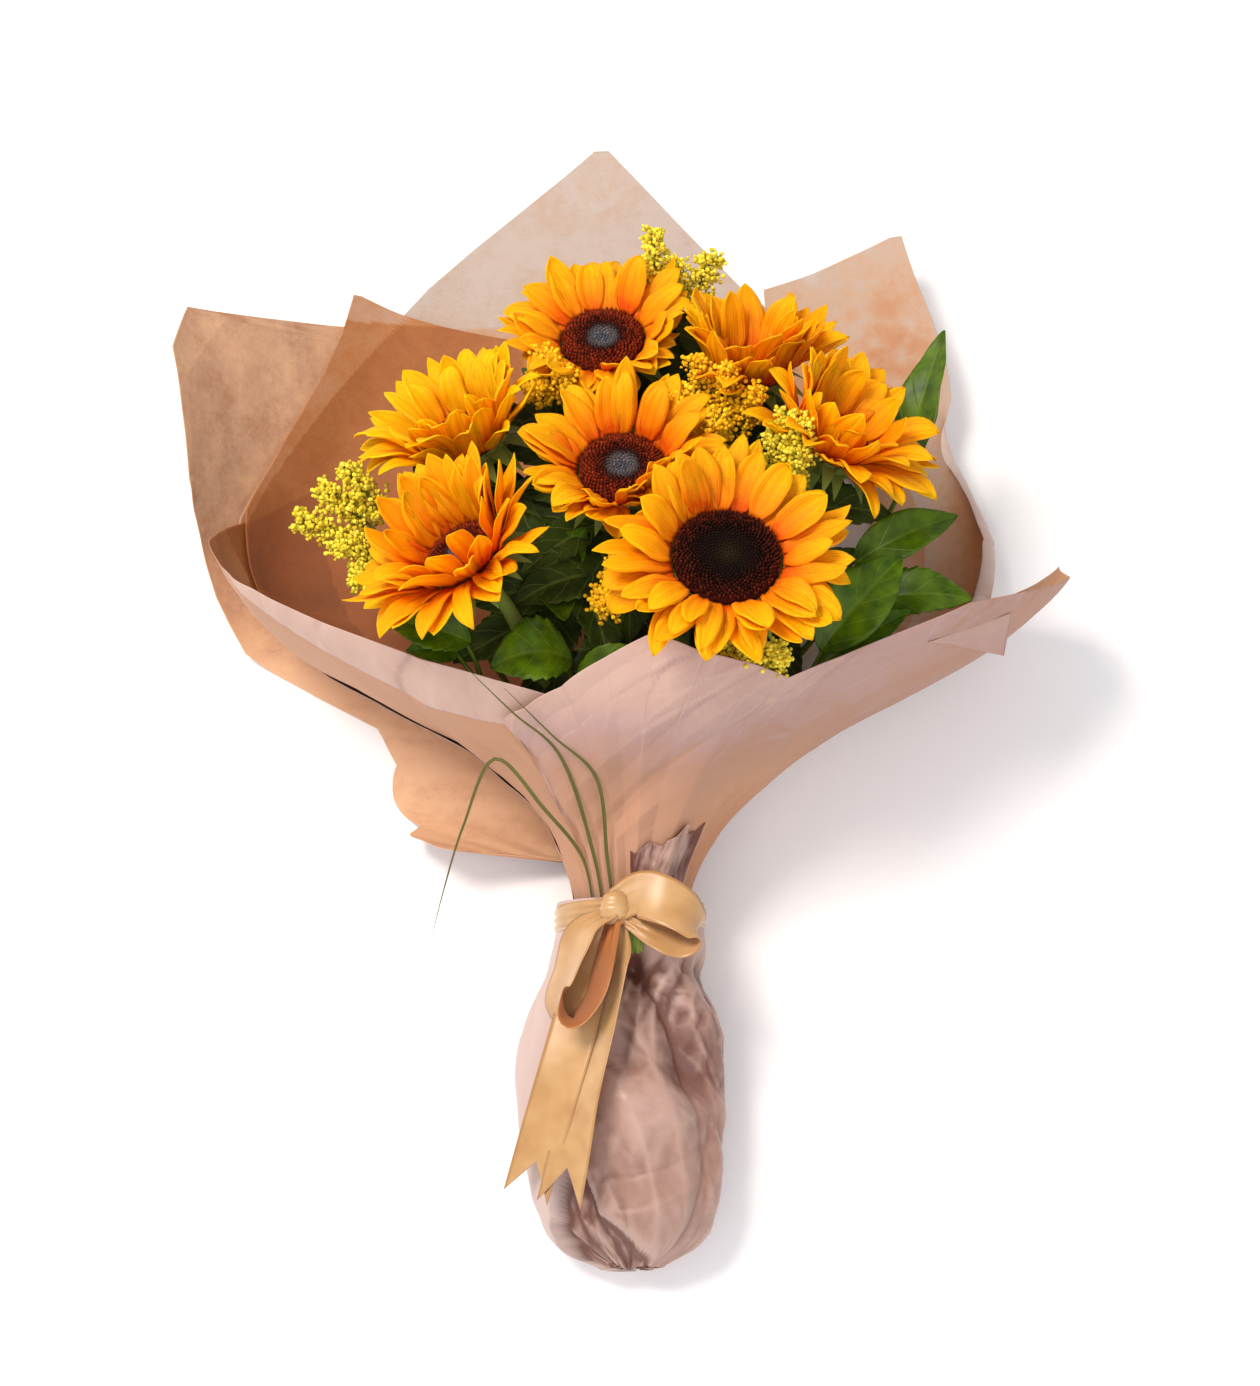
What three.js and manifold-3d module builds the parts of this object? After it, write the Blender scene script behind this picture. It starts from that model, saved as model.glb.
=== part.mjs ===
// A bunch of sunflowers with goldenrod and green leaves, wrapped in sheets of kraft paper and tied
// with a satin ribbon. It lies on its back on a table. Millimetres, +Z up: +Y runs from the cut
// stems to the flowers, and +X to the right of someone who looks at the bunch from its stem end.
import * as THREE from 'three';
import { mergeVertices } from 'three/addons/utils/BufferGeometryUtils.js';
import Module from 'manifold-3d';

const wasm = await Module();
wasm.setup();

const V = (x, y, z) => new THREE.Vector3(x, y, z);
const degrees = THREE.MathUtils.degToRad;
const mix = THREE.MathUtils.lerp;
const limit = THREE.MathUtils.clamp;
const ease = THREE.MathUtils.smoothstep;

// ---------------------------------------------------------------- driving dimensions
const TIE = V(0, 0, 46); // the middle of the neck, where the ribbon ties it
const RISE = degrees(15); // how far the bunch's axis rises from the table
const NECK_RADIUS = 24; // inside the innermost sheet at the tie
const PAPER = 0.8;
const GAP = 0.3; // clearance between touching pieces
const WRAP = { halfWidth: 225, frontDepth: 95, backDepth: 143 }; // the funnel at full flare
const LAYER_STEP = { onTable: 3, free: 3.6 }; // from one sheet to the next
const LOOSE = 3; // the layer of the outer sheet that opens nearer the tie
const DISC_DEPTH = 4;
const STEM_RADIUS = { cut: 4.9, top: 3.8 };
const STEM_STEP = 10.6; // between the middles of two stems in the bundle
const BAG_WALL = 1.2;
const RIBBON = { width: 25, gathered: 12, thickness: 0.9 }; // gathered where it winds round the neck
const KNOT = [-7, -9, 86];
const SWALLOWTAIL = 9; // how far the corners of a tail's end stand out beyond its middle
const BAG_COLLAR = 35.6; // outside of the bag where the ribbon winds round it

const ROW = STEM_STEP * Math.sin(Math.PI / 3);
const PETAL_WIDTH = { narrow: 17, wider: 4.5 }; // the narrowest, and how much wider others can be

// Sunflowers: middle of the disc, lean to the right and away from the stems in degrees, how far in
// degrees the petals are cupped, radius of the disc, petal length, petals in the lower and upper
// layer, and the stem's place in the neck.
const SUNFLOWERS = [
  { at: [-13.8, 276.6, 145], lean: [-3, 14], cup: 10, disc: 21.5, petal: 34, count: [11, 8],
    slot: [-STEM_STEP / 2, -ROW] },
  { at: [-3.9, 191.1, 165], lean: [0, 12], cup: 10, disc: 21.5, petal: 36, count: [11, 8],
    slot: [0, 0] },
  { at: [46.1, 132, 185], lean: [2, 8], cup: 6, disc: 26.5, petal: 36, count: [12, 9],
    slot: [STEM_STEP / 2, ROW] },
  { at: [-81.1, 144.1, 165], lean: [-30, 22], cup: 16, disc: 20, petal: 40, count: [11, 8],
    slot: [-STEM_STEP / 2, ROW] },
  { at: [-82.2, 222.8, 142], lean: [-18, 30], cup: 18, disc: 20, petal: 38, count: [11, 8],
    slot: [-STEM_STEP, 0] },
  { at: [59, 262.6, 142], lean: [2, 36], cup: 18, disc: 19.5, petal: 37, count: [11, 8],
    slot: [STEM_STEP / 2, -ROW] },
  { at: [101.1, 215.1, 152], lean: [24, 28], cup: 16, disc: 19.5, petal: 37, count: [11, 8],
    slot: [STEM_STEP, 0] },
];

// Goldenrod: the slot in the neck, the fork, and the tip of each plume.
const GOLDENROD = {
  left: { slot: [-17.65, 0], fork: [-104, 172, 88], tips: [[-168, 189, 115], [-157, 204, 120],
    [-144, 214, 124], [-146, 174, 116], [-138, 158, 112]] },
  back: { slot: [0, -13.85], fork: [16, 290, 92], tips: [[12, 332, 160], [24, 322, 148], [43, 326, 146]] },
  back_left: { slot: [-12, -6.9], fork: [-38, 246, 118], tips: [[-43, 259, 158], [-33, 247, 160],
    [-48, 247, 152]] },
  middle: { slot: [12, 6.9], fork: [42, 208, 118], tips: [[33, 252, 168], [49, 244, 172], [24, 230, 172],
    [62, 232, 170], [42, 214, 174]] },
  right: { slot: [16.5, 4], fork: [78, 176, 118], tips: [[84, 206, 184], [76, 210, 184], [70, 202, 180],
    [80, 194, 178]] },
  centre: { slot: [0, 13.5], fork: [-8, 128, 120], tips: [[14, 160, 176], [4, 150, 176], [-5, 140, 166],
    [-12, 126, 152]] },
  front: { slot: [8.8, 15.3], fork: [58, 92, 114], tips: [[43, 97, 150], [56, 95, 155], [72, 98, 150]] },
};

// Leaves: each leafy stem has a slot in the neck and blades from a base to a tip, with a width, an
// arch at mid-length and a lean, in degrees, of the blade's upper side to the right.
const LEAFY_STEMS = {
  right: { slot: [17.4, 0], fork: [98, 140, 96], blades: [
    { base: [112, 166, 112], tip: [165, 190, 118], width: 24, arch: 7, lean: 10, teeth: 0 },
    { base: [118, 150, 100], tip: [172, 150, 104], width: 26, arch: 8, lean: 15, teeth: 0.12 }] },
  front_right: { slot: [13.2, 10.4], fork: [82, 92, 100], blades: [
    { base: [93, 110, 126], tip: [134, 157, 136], width: 32, arch: 8, lean: 5, teeth: 0 },
    { base: [92, 104, 120], tip: [138, 132, 126], width: 18, arch: 4, lean: 0, teeth: 0.1 }] },
  back_right: { slot: [12, -6.9], fork: [128, 205, 70], blades: [
    { base: [142, 222, 92], tip: [164, 300, 116], width: 26, arch: 4, lean: -35, teeth: 0 }] },
  front_left: { slot: [-8.8, 15.3], fork: [-30, 84, 108], blades: [
    { base: [-28, 104, 130], tip: [-68, 98, 132], width: 34, arch: 12, lean: -10, teeth: 0.14 },
    { base: [-26, 96, 128], tip: [6, 106, 138], width: 14, arch: 4, lean: 0, teeth: 0.1 }] },
  left: { slot: [-13.2, 10.4], fork: [-72, 96, 104], blades: [
    { base: [-78, 116, 124], tip: [-120, 126, 128], width: 24, arch: 6, lean: -15, teeth: 0.14 },
    { base: [-84, 112, 120], tip: [-110, 112, 122], width: 16, arch: 4, lean: -10, teeth: 0.1 }] },
  middle: { slot: [-12, 6.9], fork: [-34, 140, 108], blades: [
    { base: [-42, 150, 112], tip: [-22, 178, 128], width: 22, arch: 4, lean: 5, teeth: 0.1 },
    { base: [-40, 146, 112], tip: [-32, 122, 136], width: 20, arch: 4, lean: 10, teeth: 0.1 }] },
};

// Long blades of grass tucked under the ribbon at an angle round the neck, and the points that
// each passes on its way out.
const GRASS = {
  long: { angle: 127, points: [[-42, 38, 99], [-66, 62, 105], [-82, 34, 86], [-93, 8, 60], [-99, -6, 38]] },
  upright: { angle: 117, points: [[-35, 58, 122], [-56, 71, 139], [-79, 88, 156]] },
  short: { angle: 107, points: [[-17, 48, 117], [-37, 62, 132], [-60, 79, 150]] },
};

// Sheets of paper. layer counts from the inside, and proud is how far a sheet stands off further
// up. The outline is a line of columns, [angle round the neck, first and last distance from the
// tie], or of rows, [distance from the tie, first and last angle].
const SHEETS = {
  wrap_left_inner: { layer: 0, rows: [[-10, 190, 300], [120, 208, 300], [158, 218, 298], [226, 220, 296],
    [270, 221, 294], [310, 226, 286], [334, 226, 254], [358, 227.5, 229]] },
  wrap_left_front: { layer: 1, columns: [[100, -10, 96], [106, -10, 98], [123, -10, 110], [137, -10, 122],
    [149, -10, 142], [159, -10, 162], [176, -10, 186], [189, -10, 200], [209, -10, 222], [222, -10, 245]] },
  wrap_right: { layer: 1, rows: [[-10, 306, 372], [150, 306, 346], [190, 306, 336], [234, 306, 327],
    [290, 292, 320], [326, 290, 318], [370, 289, 313], [394, 309, 311]] },
  wrap_back: { layer: 2, rows: [[-10, 190, 318], [150, 200, 318], [222, 207, 316], [298, 224, 306],
    [350, 237, 292], [370, 241.5, 286], [458, 265, 267]] },
  wrap_left_outer: { layer: LOOSE, proud: 2, rows: [[-8, 246, 266], [34, 246, 264], [38, 201, 263],
    [54, 231, 262], [80, 238, 261], [98, 236, 260], [124, 224, 260], [150, 211, 259], [178, 206, 258],
    [226, 198, 257], [278, 193, 256], [306, 191, 255], [332, 196, 255], [336, 208, 255],
    [340, 219, 255], [344, 231, 255]] },
  wrap_front: { layer: 2, proud: 5, columns: [[-30, -10, 176], [-13, -10, 188], [-4, -10, 178],
    [32, -10, 150], [46, -10, 122], [54, -10, 110], [62, -10, 113], [76, -10, 118], [86, -10, 127],
    [95, -10, 116], [106, -10, 104], [120, -10, 96], [131, -10, 92], [134, -10, 40]] },
};
const SHEET_GRID = {
  angles: Array.from({ length: 31 }, (_, i) => -30 + 14 * i),
  distances: [16, 42, 66, 88, 108, 130, 155, 190, 234, 280, 330, 390],
};

// Colours and finishes.
const finish = (color, roughness, metalness = 0) => ({ color, roughness, metalness });
const PETAL = finish('#f9a80a', 0.6);
const LEMON_PETAL = finish('#fbc20a', 0.6);
const FLORETS = finish('#3b1710', 0.9);
const STEM_GREEN = finish('#5f7d35', 0.7);
const GOLDENROD_YELLOW = finish('#c9b12c', 0.8);
const LEAF_GREEN = finish('#3f6a25', 0.5);
const GRASS_GREEN = finish('#5d6a35', 0.6);
const KRAFT = finish('#cf9770', 0.85);
const PALE_KRAFT = finish('#dcb59c', 0.85);
const BAG_PAPER = finish('#a98373', 0.8);
const SATIN = finish('#d9b06c', 0.35);

// ---------------------------------------------------------------- solids
// A number from 0 to 1 that looks random and is the same every time, for a thing and a trait of it.
function chance(thing, trait) {
  const wave = Math.sin(thing * 12.9898 + trait * 78.233) * 43758.5453;
  return wave - Math.floor(wave);
}

// The value of a broken line of [x, y...] points at x, read from column `column`.
function along(line, x, column = 1) {
  const last = line.length - 1;
  if (x <= line[0][0]) return line[0][column];
  if (x >= line[last][0]) return line[last][column];
  const next = line.findIndex((point) => point[0] > x);
  const [before, after] = [line[next - 1], line[next]];
  return mix(before[column], after[column], (x - before[0]) / (after[0] - before[0]));
}

// A closed solid through rings of points. A ring of one point is a tip. The second half of each
// ring is split the other way, so that the two faces of a thin blade are split alike.
function loft(rings) {
  const starts = [];
  const points = [];
  for (const ring of rings) {
    starts.push(points.length);
    points.push(...ring);
  }
  const faces = [];
  for (let i = 0; i + 1 < rings.length; i += 1) {
    const [a, b] = [starts[i], starts[i + 1]];
    const [countA, countB] = [rings[i].length, rings[i + 1].length];
    const count = Math.max(countA, countB);
    for (let k = 0; k < count; k += 1) {
      const next = (k + 1) % count;
      if (countA === 1) faces.push(a, b + next, b + k);
      else if (countB === 1) faces.push(a + k, a + next, b);
      else if (k < count / 2) faces.push(a + k, a + next, b + next, a + k, b + next, b + k);
      else faces.push(a + k, a + next, b + k, a + next, b + next, b + k);
    }
  }
  const last = rings.length - 1;
  faces.push(...ladder(starts[0], rings[0].length, true));
  faces.push(...ladder(starts[last], rings[last].length, false));
  return solidOf(points, faces);
}

// The flat end of a loft: rungs between the two halves of a ring.
function ladder(start, count, reversed) {
  const faces = [];
  for (let k = 0; k + 1 < count - 1 - k; k += 1) {
    const [a, b] = [start + k, start + k + 1];
    const [c, d] = [start + count - 2 - k, start + count - 1 - k];
    const rung = b === c ? [a, b, d] : [a, b, c, a, c, d];
    faces.push(...(reversed ? rung.reverse() : rung));
  }
  return faces;
}

// A manifold solid from points and triangles, with its faces turned outwards.
function solidOf(points, faces) {
  let volume = 0;
  for (let i = 0; i < faces.length; i += 3) {
    const [a, b, c] = [points[faces[i]], points[faces[i + 1]], points[faces[i + 2]]];
    volume += a.dot(b.clone().cross(c));
  }
  const triVerts = Uint32Array.from(volume < 0 ? faces.slice().reverse() : faces);
  const vertProperties = Float32Array.from(points.flatMap((point) => point.toArray()));
  const mesh = new wasm.Mesh({ numProp: 3, vertProperties, triVerts });
  mesh.merge();
  return new wasm.Manifold(mesh);
}

// The largest body of several solids joined into one.
function join(solids) {
  const bodies = wasm.Manifold.union(solids).decompose();
  return bodies.reduce((best, body) => (body.volume() > best.volume() ? body : best));
}

// A round tube along a smooth curve through points, with a radius for each end.
function tube(points, radiusStart, radiusEnd, sides, steps) {
  const curve = new THREE.CatmullRomCurve3(points, false, 'centripetal');
  const frames = curve.computeFrenetFrames(steps, false);
  const rings = [];
  for (let i = 0; i <= steps; i += 1) {
    const middle = curve.getPointAt(i / steps);
    const radius = mix(radiusStart, radiusEnd, i / steps);
    const ring = [];
    for (let k = 0; k < sides; k += 1) {
      const angle = (2 * Math.PI * k) / sides;
      ring.push(middle.clone()
        .addScaledVector(frames.normals[i], radius * Math.cos(angle))
        .addScaledVector(frames.binormals[i], radius * Math.sin(angle)));
    }
    rings.push(ring);
  }
  return loft(rings);
}

// ---------------------------------------------------------------- the funnel of paper
const AXIS = V(0, Math.cos(RISE), Math.sin(RISE));
const FRONT = V(0, -Math.sin(RISE), Math.cos(RISE));

// A rise from one size at the tie to another far from it, with its middle and softness in mm.
function flare(distance, middle, softness, from, to) {
  const bell = (x) => 1 / (1 + Math.exp(-x));
  const start = bell(-middle / softness);
  return from + ((to - from) * (bell((Math.max(distance, 0) - middle) / softness) - start)) / (1 - start);
}

// A height kept above the table by a smooth bend.
function aboveTable(height, lowest) {
  const bend = 14;
  if (height < lowest - bend) return lowest;
  if (height > lowest + bend) return height;
  return lowest + ((height - lowest + bend) ** 2) / (4 * bend);
}

// A point of a sheet's layer of the funnel, at an angle round the neck and a distance from the tie.
// On the table a sheet lies on the ones outside it, and right of the loose sheet on one fewer.
function funnel({ layer, proud = 0 }, angle, distance) {
  const out = LAYER_STEP.free * layer * (0.42 + 0.58 * limit(distance / 70, 0, 1))
    + proud * ease(distance, 20, 100);
  const loose = layer === LOOSE;
  const turn = degrees(angle);
  const wave = 2.4 * ease(distance, 60, 220) * Math.sin(5 * turn + 0.012 * distance)
    + 1.4 * ease(distance, 40, 160) * Math.sin(9 * turn - 0.03 * distance);
  const width = out + wave + flare(distance, loose ? 45 : 115, loose ? 11 : 28, NECK_RADIUS, WRAP.halfWidth);
  const up = flare(distance, 90, 26, NECK_RADIUS, WRAP.frontDepth) + out + wave;
  const down = flare(distance, loose ? 64 : 90, loose ? 18 : 30, NECK_RADIUS, WRAP.backDepth) + out + wave;
  const depth = Math.sin(turn) > 0 ? up : down;
  const point = TIE.clone().addScaledVector(AXIS, distance);
  point.x += width * Math.cos(turn);
  point.addScaledVector(FRONT, depth * Math.sin(turn));
  const sheetsBelow = Math.max(0, LOOSE - layer - ease(angle, 268, 288));
  point.z = aboveTable(point.z, PAPER / 2 + LAYER_STEP.onTable * sheetsBelow);
  return point;
}

// The lines of [angle, distance] points that a sheet is made of. All sheets share the same angles
// and distances inside their outlines, so that layers with the same bends never cross.
function sheetLines({ rows, columns }) {
  const outline = rows ?? columns;
  const { angles, distances } = SHEET_GRID;
  const [own, other] = rows ? [distances, angles] : [angles, distances];
  const [first, last] = [outline[0][0], outline.at(-1)[0]];
  const corners = outline.map((point) => point[0]);
  const shared = own.filter((x) => x > first && x < last && corners.every((c) => Math.abs(c - x) > 4));
  return [...corners, ...shared].sort((p, q) => p - q).map((x) => {
    const [start, end] = [along(outline, x, 1), along(outline, x, 2)];
    const between = other.filter((y) => y > start + 3 && y < end - 3);
    return [start, ...between, end].map((y) => ({ angle: rows ? y : x, distance: rows ? x : y, place: y }));
  });
}

function paperSheet(sheet) {
  const lines = sheetLines(sheet);
  const spots = lines.flat();
  const faces = [];
  let start = 0;
  for (let i = 0; i + 1 < lines.length; i += 1) {
    const [a, b] = [lines[i], lines[i + 1]];
    const [fromA, fromB] = [start, start + a.length];
    let [j, k] = [0, 0];
    while (j + 1 < a.length || k + 1 < b.length) {
      const stepA = k + 1 === b.length || (j + 1 < a.length && a[j + 1].place <= b[k + 1].place);
      faces.push([fromA + j, stepA ? fromA + j + 1 : fromB + k + 1, fromB + k]);
      if (stepA) j += 1;
      else k += 1;
    }
    start += a.length;
  }
  return thickened(spots.map(({ angle, distance }) => paperFaces(sheet, angle, distance)), faces);
}

// The points on both faces of a sheet at one place of the funnel.
function paperFaces(sheet, angle, distance) {
  const middle = funnel(sheet, angle, distance);
  const round = funnel(sheet, angle + 1, distance).sub(funnel(sheet, angle - 1, distance));
  const outwards = funnel(sheet, angle, distance + 2).sub(funnel(sheet, angle, distance - 2));
  const normal = round.cross(outwards).normalize().multiplyScalar(PAPER / 2);
  return [middle.clone().add(normal), middle.clone().sub(normal)];
}

// A closed solid from pairs of points on two faces, the triangles of one face, and an edge.
function thickened(pairs, faces) {
  const count = pairs.length;
  const points = [...pairs.map((pair) => pair[0]), ...pairs.map((pair) => pair[1])];
  const edges = new Map();
  for (const [a, b, c] of faces) {
    for (const [p, q] of [[a, b], [b, c], [c, a]]) {
      if (!edges.delete(`${q} ${p}`)) edges.set(`${p} ${q}`, [p, q]);
    }
  }
  const border = [...edges.values()].flatMap(([p, q]) => [p, p + count, q + count, p, q + count, q]);
  const front = faces.flat();
  const back = faces.flatMap(([a, b, c]) => [c + count, b + count, a + count]);
  return solidOf(points, [...front, ...back, ...border]);
}

// ---------------------------------------------------------------- sunflowers
// A head's own axes: its middle, the way it faces, and two directions across it.
function headFrame(flower) {
  const [right, back] = flower.lean.map(degrees);
  const facing = V(Math.sin(right), Math.cos(right) * Math.sin(back), Math.cos(right) * Math.cos(back));
  const side = V(1, 0, 0).addScaledVector(facing, -facing.x).normalize();
  return { middle: V(...flower.at), facing, side, up: facing.clone().cross(side) };
}
const FRAMES = SUNFLOWERS.map(headFrame);

function outward(frame, angle) {
  return frame.side.clone().multiplyScalar(Math.cos(angle)).addScaledVector(frame.up, Math.sin(angle));
}

// How far a point is inside a head's own share of the space between it and the other heads.
function roomAt(point, head) {
  const own = FRAMES[head].middle;
  return Math.min(...FRAMES.filter((_, i) => i !== head).map((other) => {
    const between = own.clone().sub(other.middle);
    const share = SUNFLOWERS[head].disc / (SUNFLOWERS[head].disc + SUNFLOWERS[FRAMES.indexOf(other)].disc);
    const border = own.clone().addScaledVector(between, -share);
    return point.clone().sub(border).dot(between.normalize());
  }));
}

// One petal: stations from root to tip, each with its middle, half-width and direction across. The
// middle line starts at an angle above the head's plane, which shrinks by droop towards the tip.
const PETAL_STATIONS = [[0, 0.42], [0.38, 0.98], [0.74, 0.84], [1, 0]];
function petalLine(head, index, lift) {
  const flower = SUNFLOWERS[head];
  const frame = FRAMES[head];
  const upper = index >= flower.count[0];
  const inLayer = upper ? index - flower.count[0] : index;
  const layerCount = flower.count[upper ? 1 : 0];
  const thing = head * 40 + index;
  const place = inLayer + (upper ? 0.5 : 0) + 0.35 * (chance(thing, 1) - 0.5);
  const angle = (2 * Math.PI * place) / layerCount;
  const length = flower.petal * (0.9 + 0.2 * chance(thing, 2)) * (upper ? 0.93 : 1);
  const halfWidth = (PETAL_WIDTH.narrow + PETAL_WIDTH.wider * chance(thing, 3)) / 2;
  const droop = degrees(12 + 30 * chance(thing, 4));
  const twist = degrees(26 * (chance(thing, 5) - 0.5));
  const out = outward(frame, angle);
  const across = frame.facing.clone().cross(out);
  const root = frame.middle.clone()
    .addScaledVector(out, flower.disc + 1.9)
    .addScaledVector(frame.facing, upper ? -0.7 : -3);
  const stations = [];
  let previous = 0;
  const middle = root.clone();
  for (const [t, width] of PETAL_STATIONS) {
    const pitch = lift - droop * ((t + previous) / 2) ** 1.5;
    middle.addScaledVector(out, length * (t - previous) * Math.cos(pitch));
    middle.addScaledVector(frame.facing, length * (t - previous) * Math.sin(pitch));
    const normal = frame.facing.clone().multiplyScalar(Math.cos(pitch))
      .addScaledVector(out, -Math.sin(pitch));
    const side = across.clone().applyAxisAngle(out, twist * t);
    stations.push({ middle: middle.clone(), side, normal, half: halfWidth * width });
    previous = t;
  }
  return stations;
}

// The smallest lift, from a starting one, that keeps a petal in its head's own share of the space.
function roomyLift(head, index, from) {
  const steepest = degrees(86);
  for (let lift = from; lift < steepest; lift += degrees(4)) {
    const line = petalLine(head, index, lift);
    const room = Math.min(...line.map(({ middle, side, half }) => Math.min(
      roomAt(middle.clone().addScaledVector(side, half), head),
      roomAt(middle.clone().addScaledVector(side, -half), head),
    )));
    if (room > 0.9) return lift;
  }
  return steepest;
}

// The lift of each petal: an upper one stands more steeply than the lower ones beside it.
function petalLifts(head) {
  const [lowerCount, upperCount] = SUNFLOWERS[head].count;
  const cup = degrees(SUNFLOWERS[head].cup);
  const lower = Array.from({ length: lowerCount }, (_, i) => roomyLift(head, i, cup));
  const upper = Array.from({ length: upperCount }, (_, i) => {
    const place = ((i + 0.5) / upperCount) * lowerCount;
    const beside = [Math.floor(place), Math.floor(place) + 1].map((k) => lower[k % lowerCount]);
    return roomyLift(head, lowerCount + i, Math.min(degrees(86), Math.max(...beside) + degrees(14)));
  });
  return [...lower, ...upper];
}

// A petal is flat on top, with a low keel under its middle. One with extra is a blunter shape that
// the petal fits in with room all round.
function petal(head, index, lift, extra = 0) {
  const stations = petalLine(head, index, lift);
  const [before, tip] = stations.slice(-2).map((station) => station.middle);
  tip.addScaledVector(tip.clone().sub(before).normalize(), 4 * extra);
  const [top, keel] = [0.4 + extra, -0.8 - 1.5 * extra];
  const below = extra > 0 ? [[-1, keel], [1, keel]] : [[0, keel]];
  const section = [[1, top], [-1, top], ...below];
  return loft(stations.map(({ middle, side, normal, half }) => (half === 0 ? [middle] : (
    section.map(([sideways, height]) => middle.clone()
      .addScaledVector(side, sideways * (half + 2 * extra))
      .addScaledVector(normal, height))))));
}

// A solid turned about a head's facing line, from [radius, height] points; relief lifts the face.
function turned(frame, profile, sides, relief = () => 0) {
  return loft(profile.map(([radius, height], row) => {
    if (radius === 0) return [frame.middle.clone().addScaledVector(frame.facing, height)];
    return Array.from({ length: sides }, (_, k) => frame.middle.clone()
      .addScaledVector(outward(frame, (2 * Math.PI * (k + 0.5 * (row % 2))) / sides), radius)
      .addScaledVector(frame.facing, height + relief(row, k)));
  }));
}

// A ring turned about a head's facing line, from the [radius, height] corners of its section.
function turnedRing(frame, section, sides) {
  return solidRing(Array.from({ length: sides }, (_, k) => {
    const out = outward(frame, (2 * Math.PI * k) / sides);
    return section.map(([radius, height]) => frame.middle.clone()
      .addScaledVector(out, radius)
      .addScaledVector(frame.facing, height));
  }));
}

function petals(head) {
  const { disc: radius } = SUNFLOWERS[head];
  const [bottom, inside, outside] = [-DISC_DEPTH, radius + 2 * GAP, radius + 2 * GAP + 3];
  const section = [[inside, bottom], [outside, bottom], [outside, 0], [inside, 0]];
  const band = turnedRing(FRAMES[head], section, 12);
  return join([band, ...petalLifts(head).map((lift, index) => petal(head, index, lift))]);
}

// The floret disc: a low dome with a raised ring and a dimple, covered with florets in relief.
function disc(head) {
  const radius = SUNFLOWERS[head].disc * 0.97;
  const rise = (r) => 3.2 * Math.sin(Math.PI * Math.min(1, 0.28 + 0.72 * r) ** 1.6) + 0.6;
  const rows = [1, 0.8, 0.55, 0.3];
  const face = rows.map((r) => [radius * r, rise(r)]);
  const profile = [[0, -DISC_DEPTH], [radius, -DISC_DEPTH], ...face, [0, rise(0)]];
  return turned(FRAMES[head], profile, 14, (row, k) => (row > 2 && (row + k) % 2 ? 1.1 : 0));
}

// The stem, with the green receptacle under the head and its pointed bracts.
function stem(head, extra = 0) {
  const { disc: radius, slot } = SUNFLOWERS[head];
  const frame = FRAMES[head];
  const top = -DISC_DEPTH - GAP;
  const cup = turned(frame, [[0, top], [radius + 1 + extra, top], [radius - 3 + extra, top - 6],
    [6 + extra, top - 13], [0, top - 13 - extra]], 8);
  const bracts = Array.from({ length: 7 }, (_, index) => {
    const out = outward(frame, (2 * Math.PI * (index + 0.3 * chance(head * 20 + index, 6))) / 7);
    const across = frame.facing.clone().cross(out);
    const place = (r, h) => frame.middle.clone().addScaledVector(out, r).addScaledVector(frame.facing, h);
    const [root, base, half] = [radius - 1, top - 3, 5 + 2 * extra];
    return loft([[
      place(root, base + extra).addScaledVector(across, half),
      place(root, base + extra).addScaledVector(across, -half),
      place(root, base - 2 - 1.5 * extra),
    ], [place(radius + 17 + extra, top - 8)]]);
  });
  const under = frame.middle.clone().addScaledVector(frame.facing, top - 11);
  const bend = frame.middle.clone().addScaledVector(frame.facing, top - 42);
  return join([cup, ...bracts, tube([cutEnd(slot, head), ...inNeck(slot), bend, under],
    STEM_RADIUS.cut + extra, STEM_RADIUS.top + extra, 7, 6)]);
}

// Where a stem passes the neck and the bag: its slot is an offset to the right and to the front.
function inNeck([right, front]) {
  return [-14, 14].map((distance) => TIE.clone()
    .add(V(right, 0, 0))
    .addScaledVector(AXIS, distance)
    .addScaledVector(FRONT, front));
}
function cutEnd([right, front], index) {
  return V(right, -138 - 9 * chance(index, 9), 18 + front);
}

// ---------------------------------------------------------------- goldenrod, leaves and grass
// Every head with a margin round it, which the plants between the heads keep out of.
const HEAD_SPACE = SUNFLOWERS.map(({ disc: radius }, head) => wasm.Manifold.union([
  turned(FRAMES[head], [[0, -5], [radius + 4.5, -5], [radius + 4.5, 1], [radius - 4, 6], [0, 6]], 12),
  stem(head, 2 * GAP),
  ...petalLifts(head).map((lift, index) => petal(head, index, lift, 2 * GAP)),
]));

// The largest body of a plant once what would touch a head is taken away.
function between(solid) {
  return join([wasm.Manifold.difference([solid, ...HEAD_SPACE])]);
}

// The middle of a stalk between the neck and its fork, which keeps near the bunch's axis, because
// the paper opens late.
function stalkMiddle(neck, fork) {
  const way = fork.clone().sub(neck);
  const lengthwise = AXIS.clone().multiplyScalar(way.dot(AXIS));
  return neck.clone().addScaledVector(lengthwise, 0.5).addScaledVector(way.sub(lengthwise), 0.34);
}

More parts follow.
